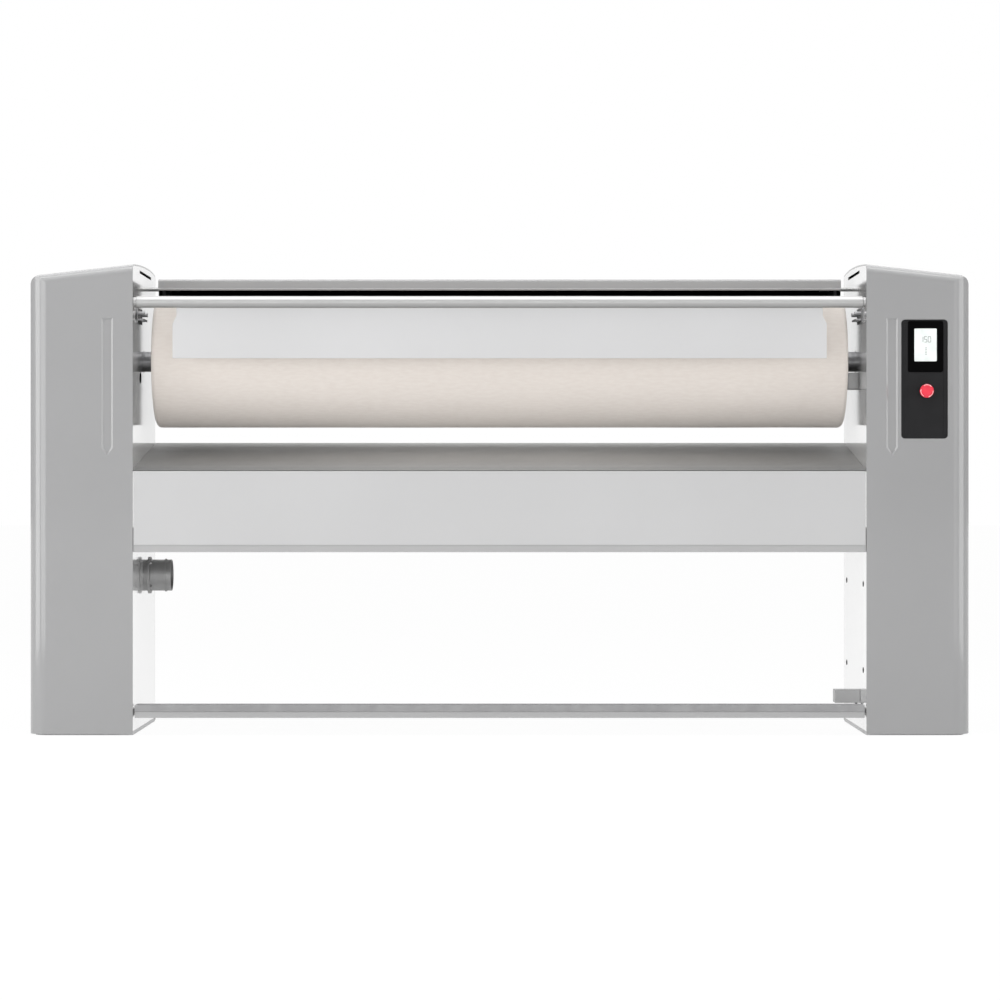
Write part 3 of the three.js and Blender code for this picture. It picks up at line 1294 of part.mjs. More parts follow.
// The stop button: a head that is turned to release it, on a stem that is pushed in.
function stopButton() {
  const tip = FRONT_Y - BUTTON_PROUD;
  const back = tip + BUTTON_HEAD;
  const stemFront = back - STEM_IN_HEAD;
  const head = join(
    rodY(BUTTON_RADIUS, BUTTON_X, tip + BUTTON_STEP, back, BUTTON_Z, 28),
    rodY(BUTTON_FACE, BUTTON_X, tip, back, BUTTON_Z, 28),
  );
  const socket = rodY(STEM_RADIUS + SEAT, BUTTON_X, stemFront - SEAT, back + CUT, BUTTON_Z, 20);
  const stem = rodY(STEM_RADIUS, BUTTON_X, stemFront, PANEL_BACK - STEM_SHORT, BUTTON_Z, 20);
  put("stop_button", cut(head, socket), RED);
  put("stop_stem", stem, DARK);
}

function electrics() {
  const foot = WALL_BACK + SEAT;
  const contactorFoot = foot + BOARD + SEAT;
  const rear = CONTACTOR_Y + CONTACTOR_DEPTH;
  const top = CONTACTOR_LOW + CONTACTOR_HEIGHT;
  const contactor = join(
    block(contactorFoot, foot + CONTACTOR_OUT, CONTACTOR_Y, rear, CONTACTOR_LOW, top),
    block(
      contactorFoot, foot + CONTACTOR_OUT - CONTACTOR_STEP, CONTACTOR_Y - TERMINALS, rear + TERMINALS,
      CONTACTOR_LOW + TERMINALS_IN, top - TERMINALS_IN,
    ),
  );
  const board = block(foot, foot + BOARD, -BOARD_HALF, BOARD_HALF, BOARD_LOW, BOARD_HIGH);
  put("electrics_plate", board, STAINLESS);
  put("contactor", contactor, DARK);
  put("cable_gland", cableGland(), DARK);
  put("roll_sensor", rollSensor(), DARK);
}

function cableGland() {
  const inner = REAR_Y - COVER_WALL - GLAND_NUT;
  const outer = REAR_Y + GLAND_PROUD;
  return cut(
    join(
      rodY(GLAND_RADIUS, GLAND_X, REAR_Y + SEAT, outer, GLAND_Z, 6),
      rodY(GLAND_THREAD, GLAND_X, inner, outer, GLAND_Z, 12),
      rodY(GLAND_RADIUS, GLAND_X, inner, REAR_Y - COVER_WALL - SEAT, GLAND_Z, 6),
    ),
    rodY(GLAND_BORE, GLAND_X, inner - CUT, outer + CUT, GLAND_Z, 10),
  );
}

// The sensor on the right wall that looks along the roll from just below its axis.
function rollSensor() {
  const y0 = ROLL_Y - SENSOR_FRONT;
  const z0 = ROLL_Z - SENSOR_DOWN - SENSOR_HEIGHT;
  const front = WALL_X - SENSOR_THICK;
  return join(
    block(front, WALL_X - SEAT, y0, y0 + SENSOR_WIDTH, z0, z0 + SENSOR_HEIGHT),
    rodX(
      SENSOR_EYE, front - SENSOR_EYE_PROUD, WALL_X - SEAT, y0 + SENSOR_EYE_IN, z0 + SENSOR_EYE_UP, 12,
    ),
  );
}

cabinets();
middle();
roll();
drive();
chest();
press();
fan();
guard();
pedal();
controls();
stopButton();
electrics();

export default machine;
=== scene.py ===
# %% [markdown]
# # A flatwork ironer
# A flatwork ironer presses sheets and tablecloths. A cloth-covered roll turns between two
# side cabinets and draws the linen past a heated chest. The exact solids of the machine come
# in as a fixed frame, and this lesson gives them their edges, cloth and finishes. The frame is
# loaded first, so that every later piece can take its place from it.

# %% Load the frame
import json
import math

import bmesh
import bpy
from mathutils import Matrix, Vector, noise


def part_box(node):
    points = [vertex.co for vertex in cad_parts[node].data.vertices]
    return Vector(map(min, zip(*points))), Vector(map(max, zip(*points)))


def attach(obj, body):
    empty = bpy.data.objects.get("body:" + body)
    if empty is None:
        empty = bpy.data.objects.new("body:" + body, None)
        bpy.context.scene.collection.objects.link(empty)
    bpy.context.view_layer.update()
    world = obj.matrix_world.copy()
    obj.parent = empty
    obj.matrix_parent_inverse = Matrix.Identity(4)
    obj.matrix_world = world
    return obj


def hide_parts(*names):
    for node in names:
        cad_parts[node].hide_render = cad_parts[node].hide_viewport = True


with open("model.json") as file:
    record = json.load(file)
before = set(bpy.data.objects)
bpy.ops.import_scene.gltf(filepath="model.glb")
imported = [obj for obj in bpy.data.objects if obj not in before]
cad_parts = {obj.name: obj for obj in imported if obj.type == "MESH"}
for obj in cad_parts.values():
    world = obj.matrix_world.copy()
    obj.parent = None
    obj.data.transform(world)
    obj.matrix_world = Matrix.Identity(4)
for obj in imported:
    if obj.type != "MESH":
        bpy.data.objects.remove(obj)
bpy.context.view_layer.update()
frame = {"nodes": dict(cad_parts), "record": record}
bpy.context.scene.view_settings.view_transform = "Standard"

# %% [markdown]
# ## Camera
# The machine is seen straight from the front, at half its height. A longer lens would flatten
# it, and a shorter one would spread the cabinets. The inner walls show as narrow bright
# strips, and their width against the roll gives this distance and lens.

# %% Place the camera
CAMERA_PLACE = (0.0009, -7.502, 0.534)
lens = bpy.data.cameras.new("front_camera")
lens.lens = 115.3
lens.sensor_width = 36
front_camera = bpy.data.objects.new("front_camera", lens)
front_camera.location = CAMERA_PLACE
front_camera.rotation_euler = (math.radians(90), 0, 0)
bpy.context.scene.collection.objects.link(front_camera)
bpy.context.scene.camera = front_camera
machine_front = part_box("left_cover")[0].y
print("camera distance from the cabinets:", round(machine_front - CAMERA_PLACE[1], 3), "m")

# %% [markdown]
# ## Small graphs of nodes
# The floor, the room and the paints all need a little arithmetic between nodes. Three helpers
# do it: one joins two values by a math node, one maps a value to a level between two ends, and
# one splits a place or a direction into its axes. They keep each graph down to a few lines.

# %% Helpers for graphs
def add_math(tree, operation, first, second=0.5):
    """Joins two sockets or numbers by a math node."""
    node = tree.nodes.new("ShaderNodeMath")
    node.operation = operation
    for socket, value in zip(node.inputs, (first, second)):
        if isinstance(value, float):
            socket.default_value = value
        else:
            tree.links.new(value, socket)
    return node.outputs[0]


def add_ramp(tree, value, start, end, first, last):
    """A level that runs from first to last while a value runs from start to end."""
    ramp = tree.nodes.new("ShaderNodeMapRange")
    names = ("From Min", "From Max", "To Min", "To Max")
    for name, number in zip(names, (start, end, first, last)):
        ramp.inputs[name].default_value = number
    tree.links.new(value, ramp.inputs["Value"])
    return ramp.outputs["Result"]


def add_axes(tree, coordinates):
    """The X, Y and Z of a place or a direction, as three sockets."""
    place = tree.nodes.new("ShaderNodeTexCoord")
    axes = tree.nodes.new("ShaderNodeSeparateXYZ")
    tree.links.new(place.outputs[coordinates], axes.inputs[0])
    return [axes.outputs[axis] for axis in "XYZ"]


# %% [markdown]
# ## Studio floor
# A pale floor carries the machine and keeps its soft shadow. Most of what the camera sees of it
# is a steady white, and the rest is lit paint, so that the floor runs into the background
# without a line and the shadow still shows.

# %% Lay the floor
FLOOR_HALF = 60
FLOOR_WHITE = 0.93
FLOOR_GLOW = 1.04
GLOW_SHARE = 0.9
floor_mesh = bmesh.new()
bmesh.ops.create_grid(floor_mesh, x_segments=2, y_segments=2, size=FLOOR_HALF)
floor_data = bpy.data.meshes.new("studio_floor")
floor_mesh.to_mesh(floor_data)
floor_mesh.free()
studio_floor = bpy.data.objects.new("studio_floor", floor_data)
bpy.context.scene.collection.objects.link(studio_floor)

floor_paint = bpy.data.materials.new("studio_floor")
floor_paint.use_nodes = True
floor_tree = floor_paint.node_tree
lit_paint = floor_tree.nodes["Principled BSDF"]
lit_paint.inputs["Base Color"].default_value = (FLOOR_WHITE, FLOOR_WHITE, FLOOR_WHITE, 1)
lit_paint.inputs["Roughness"].default_value = 0.9
lit_paint.inputs["Specular IOR Level"].default_value = 0.1
glow = floor_tree.nodes.new("ShaderNodeEmission")
glow.inputs["Strength"].default_value = FLOOR_GLOW
rays = floor_tree.nodes.new("ShaderNodeLightPath").outputs
seen = add_math(floor_tree, "MAXIMUM", rays["Is Camera Ray"], rays["Is Glossy Ray"])
floor_mix = floor_tree.nodes.new("ShaderNodeMixShader")
floor_tree.links.new(add_math(floor_tree, "MULTIPLY", seen, GLOW_SHARE), floor_mix.inputs[0])
floor_tree.links.new(lit_paint.outputs[0], floor_mix.inputs[1])
floor_tree.links.new(glow.outputs[0], floor_mix.inputs[2])
floor_output = floor_tree.nodes["Material Output"]
floor_tree.links.new(floor_mix.outputs[0], floor_output.inputs["Surface"])
floor_data.materials.append(floor_paint)
print("floor shows", GLOW_SHARE, "of its own white")

# %% [markdown]
# ## Studio room
# The camera sees a white world. A reflection sees a room: dim in front, bright behind the
# machine, with a brighter ceiling and dark flags at both sides that draw the outline of the
# cabinets. As a light the world is dim, so that paint shows about the colour it is given.

# %% Paint the room
ROOM_LEVEL, BACK_LEVEL, CEILING_LEVEL, LIGHT_LEVEL = 0.5, 0.95, 2.9, 0.49
FLAG_SHARE = 0.3
studio = bpy.data.worlds.new("studio")
bpy.context.scene.world = studio
studio.use_nodes = True
sky = studio.node_tree
side, depth, height = add_axes(sky, "Generated")
walls = add_ramp(sky, depth, -0.3, 0.1, ROOM_LEVEL, BACK_LEVEL)
ceiling = add_ramp(sky, height, 0.15, 0.9, 0.0, CEILING_LEVEL)
right_flag = add_ramp(sky, side, 0.2, 0.4, 1.0, FLAG_SHARE)
left_flag = add_ramp(sky, side, -0.2, -0.4, 1.0, FLAG_SHARE)
flags = add_math(sky, "MINIMUM", right_flag, left_flag)
reflected = add_math(sky, "MAXIMUM", add_math(sky, "MULTIPLY", walls, flags), ceiling)

sky_rays = sky.nodes.new("ShaderNodeLightPath").outputs
for_reflection = add_math(sky, "MULTIPLY", sky_rays["Is Glossy Ray"], reflected)
for_camera = add_math(sky, "MAXIMUM", sky_rays["Is Camera Ray"], for_reflection)
background = sky.nodes["Background"].inputs
background["Color"].default_value = (1, 1, 1, 1)
sky.links.new(add_math(sky, "MAXIMUM", for_camera, LIGHT_LEVEL), background["Strength"])
print("room levels:", ROOM_LEVEL, BACK_LEVEL, CEILING_LEVEL, "light:", LIGHT_LEVEL)

# %% [markdown]
# ## Lamps
# Six large lamps light the machine, because large lamps make soft edges. Those in front draw a
# pale band down the round corners, those at the sides light the edges of the grooves, one low
# lamp reaches under the guard, and one above lights the bar.

# %% Hang the lamps
LAMPS = {
    # name: place, point it is aimed at, width and height, watts
    "left_front_lamp": ((-2.9, -4.2, 0.9), (-0.9, 0, 0.7), (2.3, 2.0), 40),
    "right_front_lamp": ((2.9, -4.2, 0.9), (0.9, 0, 0.7), (2.0, 2.0), 13),
    "left_side_lamp": ((-4.6, -2.1, 1.1), (-1.0, -2.1, 0.8), (2.8, 2.6), 80),
    "right_side_lamp": ((4.6, -2.1, 1.1), (1.0, -2.1, 0.8), (2.8, 2.6), 62),
    "low_front_lamp": ((0, -5.4, 0.4), (0, 0, 0.75), (2.6, 0.7), 34),
    "top_lamp": ((0, -0.9, 3.4), (0, 0, 0.8), (4.4, 0.7), 26),
}


def hang_lamp(name, place, aim, size, power):
    lamp = bpy.data.lights.new(name, "AREA")
    lamp.shape = "RECTANGLE"
    lamp.size, lamp.size_y = size
    lamp.energy = power
    holder = bpy.data.objects.new(name, lamp)
    holder.location = place
    line = Vector(aim) - Vector(place)
    holder.rotation_euler = line.to_track_quat("-Z", "Y").to_euler()
    bpy.context.scene.collection.objects.link(holder)


for name, settings in LAMPS.items():
    hang_lamp(name, *settings)
print("lamps:", list(LAMPS))

# %% [markdown]
# ## Finishes
# Every finish is a small graph of nodes. Noise in object coordinates stands for what a factory
# leaves on a surface: the orange peel of paint, the brush lines of sheet metal, the grain of
# a casting. The first helpers make a plain finish and a noise to mark it with.

# %% Helpers for finishes
finishes_made = []


def new_finish(name, colour, roughness, metallic=0.0):
    finishes_made.append(name)
    finish = bpy.data.materials.new(name)
    finish.use_nodes = True
    finish.diffuse_color = (*colour, 1)
    shader = finish.node_tree.nodes["Principled BSDF"]
    shader.inputs["Base Color"].default_value = (*colour, 1)
    shader.inputs["Roughness"].default_value = roughness
    shader.inputs["Metallic"].default_value = metallic
    return finish


def shader_of(finish):
    return finish.node_tree.nodes["Principled BSDF"]


def set_input(finish, name, value):
    shader_of(finish).inputs[name].default_value = value


def speckle(finish, scale, stretch=(1, 1, 1), detail=3.0, coordinates="Object"):
    """A noise whose cells are about 1/scale metres wide, drawn out along one axis."""
    tree = finish.node_tree
    place = tree.nodes.new("ShaderNodeTexCoord")
    turn = tree.nodes.new("ShaderNodeMapping")
    turn.inputs["Scale"].default_value = stretch
    cells = tree.nodes.new("ShaderNodeTexNoise")
    cells.inputs["Scale"].default_value = scale
    cells.inputs["Detail"].default_value = detail
    tree.links.new(place.outputs[coordinates], turn.inputs["Vector"])
    tree.links.new(turn.outputs["Vector"], cells.inputs["Vector"])
    return cells.outputs["Fac"]


# %% [markdown]
# A pattern can change the colour, the roughness or the height of a surface, and each way has a
# helper. A noise mostly lies near the middle between 0 and 1, so the colour and the roughness
# run across that middle part only.

# %% Helpers for patterns
TINT_SPAN = (0.35, 0.65)
DULL_SPAN = (0.3, 0.7)


def tint(finish, pattern, dark, light):
    """Lets the colour run from dark to light with a pattern."""
    ramp = finish.node_tree.nodes.new("ShaderNodeValToRGB")
    for stop, position, colour in zip(ramp.color_ramp.elements, TINT_SPAN, (dark, light)):
        stop.position = position
        stop.color = (*colour, 1)
    finish.node_tree.links.new(pattern, ramp.inputs["Fac"])
    finish.node_tree.links.new(ramp.outputs["Color"], shader_of(finish).inputs["Base Color"])


def dull(finish, pattern, smooth, rough):
    """Lets the roughness run between two values with a pattern."""
    tree = finish.node_tree
    level = add_ramp(tree, pattern, *DULL_SPAN, smooth, rough)
    tree.links.new(level, shader_of(finish).inputs["Roughness"])


def relief(finish, pattern, height, strength):
    """Raises the surface by a pattern; a second relief lies on top of the first."""
    tree = finish.node_tree
    normal = shader_of(finish).inputs["Normal"]
    bump = tree.nodes.new("ShaderNodeBump")
    bump.inputs["Strength"].default_value = strength
    bump.inputs["Distance"].default_value = height
    if normal.links:
        tree.links.new(normal.links[0].from_socket, bump.inputs["Normal"])
    tree.links.new(pattern, bump.inputs["Height"])
    tree.links.new(bump.outputs["Normal"], normal)


def shade(colour, share):
    """The same colour, lighter or darker by a share."""
    return tuple(c * (1 + share) for c in colour)


# %% [markdown]
# ### Paints
# The cabinets and the hood are powder coated in the same grey, and the coat is glossy enough to
# mirror the lamps along its edges. The hood's copy of that grey is lighter, as painted light that
# offsets the shade it stands in behind the guard. Powder flows out into a faint orange peel about
# 2 mm across. The front panel and the guard are smoother, lighter and less glossy, and the tray
# has a matt coat that linen slides on.

# %% Mix the paints
def paint(name, colour, roughness, peel, coat, coat_roughness):
    finish = new_finish(name, colour, roughness)
    tint(finish, speckle(finish, 2.2, detail=2.0), shade(colour, -0.02), shade(colour, 0.02))
    dull(finish, speckle(finish, 60, detail=4.0), roughness - 0.04, roughness + 0.05)
    relief(finish, speckle(finish, 480, detail=1.0), peel, 0.5)
    set_input(finish, "Coat Weight", coat)
    set_input(finish, "Coat Roughness", coat_roughness)
    return finish


cover_paint = paint("cover_paint", (0.3, 0.3, 0.303), 0.45, 0.00004, 0.9, 0.07)
# The hood's grey is lighter than the cabinets', as painted light against the shade it stands in.
lightened_hood_paint = paint("lightened_hood_paint", (0.35, 0.35, 0.352), 0.45, 0.00004, 0.9, 0.07)
panel_paint = paint("panel_paint", (0.5, 0.5, 0.503), 0.45, 0.00003, 0.3, 0.25)
guard_paint = paint("guard_paint", (0.575, 0.575, 0.58), 0.45, 0.00003, 0.2, 0.25)
beam_paint = paint("beam_paint", (0.4, 0.4, 0.402), 0.45, 0.00003, 0.2, 0.25)
# The tray's grey is pale because it is the top of the painted light and shade that the ramps below
# scale.
tray_paint = paint("tray_paint", (0.76, 0.76, 0.752), 0.6, 0.00003, 0.0, 0.3)
set_input(tray_paint, "Specular IOR Level", 0.3)
print("paints:", finishes_made)

# %% [markdown]
# ### Painted light and shade on the tray
# The tray's colour carries painted light and shade. Painted shade darkens its ends and its front
# edge, where the lamps fall on it most. Painted light makes it palest in the middle of its length
# and under the roll, against the roll's shadow. The paint already has a colour graph, so two
# ramps over the tray's own coordinates are multiplied and scale that colour, which leaves its
# fine speckle in place.

# %% Shade the tray
# Painted shade at the ends and the front, painted light at the back under the roll.
TRAY_ENDS_SHADE, TRAY_FRONT_SHADE, TRAY_BACK_LIGHT = 0.62, 0.45, 1.18
tray_tree = tray_paint.node_tree
tray_x, tray_y, _ = add_axes(tray_tree, "Object")
from_middle = add_math(tray_tree, "ABSOLUTE", tray_x)
shade_along_tray = add_ramp(tray_tree, from_middle, 0.15, 0.82, 1.0, TRAY_ENDS_SHADE)
shade_across_tray = add_ramp(tray_tree, tray_y, -0.21, 0.05, TRAY_FRONT_SHADE, TRAY_BACK_LIGHT)
painted_tray_shade = add_math(tray_tree, "MULTIPLY", shade_along_tray, shade_across_tray)
tray_colour = shader_of(tray_paint).inputs["Base Color"]
shaded_tray_colour = tray_tree.nodes.new("ShaderNodeVectorMath")
shaded_tray_colour.operation = "SCALE"
tray_tree.links.new(tray_colour.links[0].from_socket, shaded_tray_colour.inputs[0])
tray_tree.links.new(painted_tray_shade, shaded_tray_colour.inputs["Scale"])
tray_tree.links.new(shaded_tray_colour.outputs["Vector"], tray_colour)
print("tray tone at its ends, front and back:", TRAY_ENDS_SHADE, TRAY_FRONT_SHADE, TRAY_BACK_LIGHT)

# %% [markdown]
# ### Metals
# Sheet metal is ground by a belt, so its lines all run one way. Turned and cast metal have
# other marks, and aluminium is paler and softer. One helper draws lines out along an axis.

# %% Grind and cast the metals
def ground_metal(name, colour, roughness, lines, scale=900, relief_depth=0.00001, metallic=1.0):
    finish = new_finish(name, colour, roughness, metallic)
    streaks = speckle(finish, scale, lines, detail=2.0)
    tint(finish, streaks, shade(colour, -0.05), shade(colour, 0.03))
    dull(finish, speckle(finish, scale / 2, lines, detail=3.0), roughness * 0.8, roughness * 1.2)
    relief(finish, streaks, relief_depth, 0.35)
    return finish


LINES_DOWN, LINES_ACROSS = (1, 0.02, 1), (0.03, 1, 1)
stainless = ground_metal(
    "stainless", (0.96, 0.96, 0.96), 0.1, LINES_DOWN, 1600, 0.000002, metallic=0.65,
)
set_input(stainless, "Specular IOR Level", 0.25)
plain_steel = ground_metal("plain_steel", (0.27, 0.27, 0.275), 0.5, (1, 0.1, 0.1), 500)
bright_tube = ground_metal(
    "bright_tube", (0.4, 0.4, 0.397), 0.42, LINES_ACROSS, 2400, 0.0, metallic=0.7,
)
galvanised = ground_metal(
    "galvanised", (0.33, 0.33, 0.33), 0.5, (1, 1, 1), 90, 0.00002, metallic=0.6,
)
aluminium = ground_metal("aluminium", (0.72, 0.73, 0.74), 0.3, LINES_ACROSS, 600)

dark_casting = new_finish("dark_casting", (0.075, 0.078, 0.082), 0.55, 0.55)
dull(dark_casting, speckle(dark_casting, 90, detail=5.0), 0.45, 0.7)
relief(dark_casting, speckle(dark_casting, 420, detail=4.0), 0.0002, 0.6)
tint(dark_casting, speckle(dark_casting, 25), (0.055, 0.057, 0.06), (0.1, 0.102, 0.106))
print("paints and metals:", len(finishes_made))

# %% [markdown]
# ### Plastics and rubber
# The control panel and the electrical parts are moulded in black with a fine spark-eroded
# grain. The display is polished, and the stop button is a shiny red. The rubber of the foot bar
# is grey and dull. The board in the hood and the plugs of the walls are a black that hardly
# reflects at all, which a low specular level gives. That black is painted shade: the deep shade
# inside the hood and inside open holes.

# %% Mould the plastics
def moulded(name, colour, roughness, grain, cells=1400):
    finish = new_finish(name, colour, roughness)
    dull(finish, speckle(finish, 120, detail=3.0), roughness - 0.05, roughness + 0.06)
    relief(finish, speckle(finish, cells, detail=1.0), grain, 0.5)
    tint(finish, speckle(finish, 30, detail=2.0), shade(colour, -0.08), shade(colour, 0.08))
    return finish


dark_plastic = moulded("dark_plastic", (0.012, 0.012, 0.013), 0.5, 0.00008)
gloss_black = moulded("gloss_black", (0.002, 0.002, 0.0022), 0.09, 0.000004, 300)
screen_face = moulded("screen_face", (0.9, 0.95, 0.93), 0.2, 0.000004, 300)
red_plastic = moulded("red_plastic", (0.8, 0.035, 0.065), 0.2, 0.00001)
foot_rubber = moulded("foot_rubber", (0.31, 0.31, 0.315), 0.7, 0.0001, 900)
# This black hardly reflects, as painted shade in the hood and in the wall holes.
shade_black = moulded("shade_black", (0.004, 0.004, 0.004), 0.9, 0.0002, 500)
screen_ink = moulded("screen_ink", (0.2, 0.21, 0.21), 0.4, 0.000002, 300)
arrow_ink = moulded("arrow_ink", (0.95, 0.75, 0.75), 0.4, 0.000002, 300)
for black, level in ((shade_black, 0.05), (dark_plastic, 0.15), (gloss_black, 0.04)):
    set_input(black, "Specular IOR Level", level)
print("finishes so far:", len(finishes_made))

# %% [markdown]
# ### Cloth and wool
# The roll is wound with felt and covered by a cream woven cloth. Threads about 1 mm apart run
# round and along the roll, and thicker places in the yarn show as faint flecks. The cloth has
# its own UV map in metres, so that the weave follows it round. The blanket behind the chest
# is loose mineral wool.

# %% Weave the cloth
BAND_WIDTH = 1 / 3.18  # from band to band of a wave texture at scale 1
THREAD_PITCH = 0.0011
roll_cloth = new_finish("roll_cloth", (0.82, 0.75, 0.69), 0.92)
weave_tree = roll_cloth.node_tree


def threads(direction):
    place = weave_tree.nodes.new("ShaderNodeUVMap")
    place.uv_map = "weave"
    band = weave_tree.nodes.new("ShaderNodeTexWave")
    band.bands_direction = direction
    band.inputs["Scale"].default_value = BAND_WIDTH / THREAD_PITCH
    band.inputs["Distortion"].default_value = 0.6
    band.inputs["Detail"].default_value = 1.0
    weave_tree.links.new(place.outputs["UV"], band.inputs["Vector"])
    return band.outputs["Fac"]


relief(roll_cloth, add_math(weave_tree, "MULTIPLY", threads("X"), threads("Y")), 0.00035, 0.7)
relief(roll_cloth, speckle(roll_cloth, 14, detail=2.0, coordinates="UV"), 0.002, 0.35)
yarn = speckle(roll_cloth, 160, (0.3, 1, 1), 4.0, "UV")
tint(roll_cloth, yarn, (0.787, 0.725, 0.673), (0.818, 0.761, 0.709))
set_input(roll_cloth, "Sheen Weight", 0.25)
set_input(roll_cloth, "Sheen Roughness", 0.5)

wool_blanket = new_finish("wool_blanket", (0.6, 0.55, 0.4), 0.95)
tint(wool_blanket, speckle(wool_blanket, 60, detail=6.0), (0.48, 0.43, 0.3), (0.68, 0.63, 0.47))
relief(wool_blanket, speckle(wool_blanket, 300, detail=6.0), 0.002, 0.8)
set_input(wool_blanket, "Sheen Weight", 0.3)
print("finishes:", len(finishes_made), "and threads", THREAD_PITCH, "m apart")

# %% [markdown]
# ## Machine pieces with eased edges
# Real sheet metal and castings have no razor edges: a small radius catches the light. The
# frame's solids are exact but sharp. Each one is copied, its loose triangles are welded, flat
# areas become single faces, and a narrow bevel eases the edges. A copy keeps the frame's own
# mesh untouched, and the copy then stands for the node.

# %% Helpers for pieces
def body_with(node):
    bodies = frame["record"]["behaviour"]["bodies"]
    return next(body for body, members in bodies.items() if node in members)


def mesh_of(work, name, sharp_from=None):
    """A mesh with its faces outwards, and smooth up to an angle in degrees if one is given."""
    bmesh.ops.recalc_face_normals(work, faces=work.faces)
    data = bpy.data.meshes.new(name)
    work.to_mesh(data)
    work.free()
    if sharp_from:
        data.polygons.foreach_set("use_smooth", [True] * len(data.polygons))
        data.set_sharp_from_angle(angle=math.radians(sharp_from))
    return data


def link_piece(name, data, finish, body):
    piece = bpy.data.objects.new(name, data)
    bpy.context.scene.collection.objects.link(piece)
    data.materials.append(finish)
    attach(piece, body)
    return piece


# %% [markdown]
# The bevel works only on edges sharper than a corner angle, so that the facets of a round stay
# round. Weighted normals then keep the large flat faces flat, because the narrow faces of the
# bevel would bend their shading.

# %% Ease the edges of a solid
WELD = 0.00002
FLAT_ANGLE = math.radians(0.4)
BEVEL_STEPS = 2
FACE_WEIGHT = 80
SLOTS = {part["node"]: part["material_slot"] for part in frame["record"]["subparts"]}
print("solids in the frame:", len(SLOTS))


def ease(node, finish, edge, corner):
    work = bmesh.new()
    work.from_mesh(frame["nodes"][node].data)
    bmesh.ops.remove_doubles(work, verts=work.verts, dist=WELD)
    bmesh.ops.dissolve_limit(
        work, angle_limit=FLAT_ANGLE, use_dissolve_boundaries=False,
        verts=work.verts, edges=work.edges, delimit=set(),
    )
    data = mesh_of(work, node + "_eased", corner)
    piece = link_piece(node + "_eased", data, finish, body_with(node))
    if edge:
        bevel = piece.modifiers.new("eased edge", "BEVEL")
        bevel.width = edge
        bevel.segments = BEVEL_STEPS
        bevel.limit_method = "ANGLE"
        bevel.angle_limit = math.radians(corner)
        bevel.harden_normals = True
        bevel.use_clamp_overlap = True
    flat = piece.modifiers.new("flat faces stay flat", "WEIGHTED_NORMAL")
    flat.keep_sharp = True
    flat.weight = FACE_WEIGHT
    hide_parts(node)


# %% [markdown]
# ### Finish of each solid
# The frame says of what kind each solid is: painted, steel, cast, rubber and so on. A table
# turns that kind into a finish, and a second table names the few solids that differ from their
# kind. The inner walls and the tray are cut sheet and keep their edges sharp. The covers have a
# shallow groove with slopes of 37 degrees, so their corner angle is set below that.

# %% Finish every solid
FINISHES = {
    "cover_paint": cover_paint,
    "stainless": stainless,
    "panel_paint": panel_paint,
    "tray_paint": tray_paint,
    "steel": plain_steel,
    "cast": dark_casting,
    "aluminium": aluminium,
    "dark_plastic": dark_plastic,
    "gloss_black": gloss_black,
    "screen": screen_face,
    "red_plastic": red_plastic,
    "rubber": foot_rubber,
    "felt": wool_blanket,
}
NODE_FINISHES = {
    "guard_bar": bright_tube, "guard_bush_left": bright_tube, "guard_bush_right": bright_tube,
    "chest_hood": lightened_hood_paint, "guard_plate": guard_paint,
    "front_beam": beam_paint, "pedal_bar": beam_paint,
    "left_base_skid": guard_paint, "right_base_skid": guard_paint, "exhaust_stub": galvanised,
    "pedal_switch_box": beam_paint, "roll_sensor": galvanised,
    "chest_rib_left": dark_casting, "chest_rib_right": dark_casting,
    "chest_pivot_left": bright_tube, "chest_pivot_right": bright_tube,
}
OWN_PIECES = {"roll_padding"}
EDGES = {
    "left_inner_wall": 0.0, "right_inner_wall": 0.0, "chest_hood": 0.0005,
    "guard_plate": 0.0008, "return_tray": 0.0, "front_panel": 0.0004, "pedal_bar": 0.0005,
    "pedal_tread": 0.0012, "control_panel": 0.0006, "display_module": 0.0006,
    "display_screen": 0.0003, "drive_chain": 0.0006, "roll_sprocket": 0.0005,
    "motor_sprocket": 0.0004, "left_base_skid": 0.001, "right_base_skid": 0.001,
}
USUAL_EDGE = 0.0007
CORNERS = {"left_cover": 30, "right_cover": 30}
USUAL_CORNER = 38

finished_nodes = [node for node in SLOTS if node not in OWN_PIECES]
for node in finished_nodes:
    finish = NODE_FINISHES.get(node, FINISHES[SLOTS[node]])
    ease(node, finish, EDGES.get(node, USUAL_EDGE), CORNERS.get(node, USUAL_CORNER))
print("solids finished:", len(finished_nodes), "of", len(SLOTS))

# %% [markdown]
# ## The padded roll
# Felt and a woven cloth are wound on the steel tube under tension. The cloth is even along the
# roll, drawn down over the ends, and a little soft: its surface waves by a fraction of a
# millimetre. A cloth simulation would add nothing to a layer this tight, so the section is
# spun round the roll's axis, and slow and fine noise push its points in and out.

# %% Spin the roll cloth
ROLL_LOW, ROLL_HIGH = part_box("roll_padding")
ROLL_AXIS = Vector((0, (ROLL_LOW.y + ROLL_HIGH.y) / 2, (ROLL_LOW.z + ROLL_HIGH.z) / 2))
CLOTH_RADIUS = (ROLL_HIGH.z - ROLL_LOW.z) / 2
ROLL_HALF = ROLL_HIGH.x
PADDING = 0.0207
END_ROUND = 0.011
END_STEPS = 6
AROUND = 176
STATIONS = 64


def cloth_profile():
    """Half the section of the cloth, from the tube out over the end and along the roll."""
    points = [
        (ROLL_HALF - 0.0012, CLOTH_RADIUS - PADDING),
        (ROLL_HALF - 0.0004, CLOTH_RADIUS - END_ROUND - 0.002),
    ]
    for i in range(END_STEPS + 1):
        t = math.radians(90 * i / END_STEPS)
        points.append((
            ROLL_HALF - END_ROUND + END_ROUND * math.cos(t),
            CLOTH_RADIUS - END_ROUND + END_ROUND * math.sin(t),
        ))
    return points


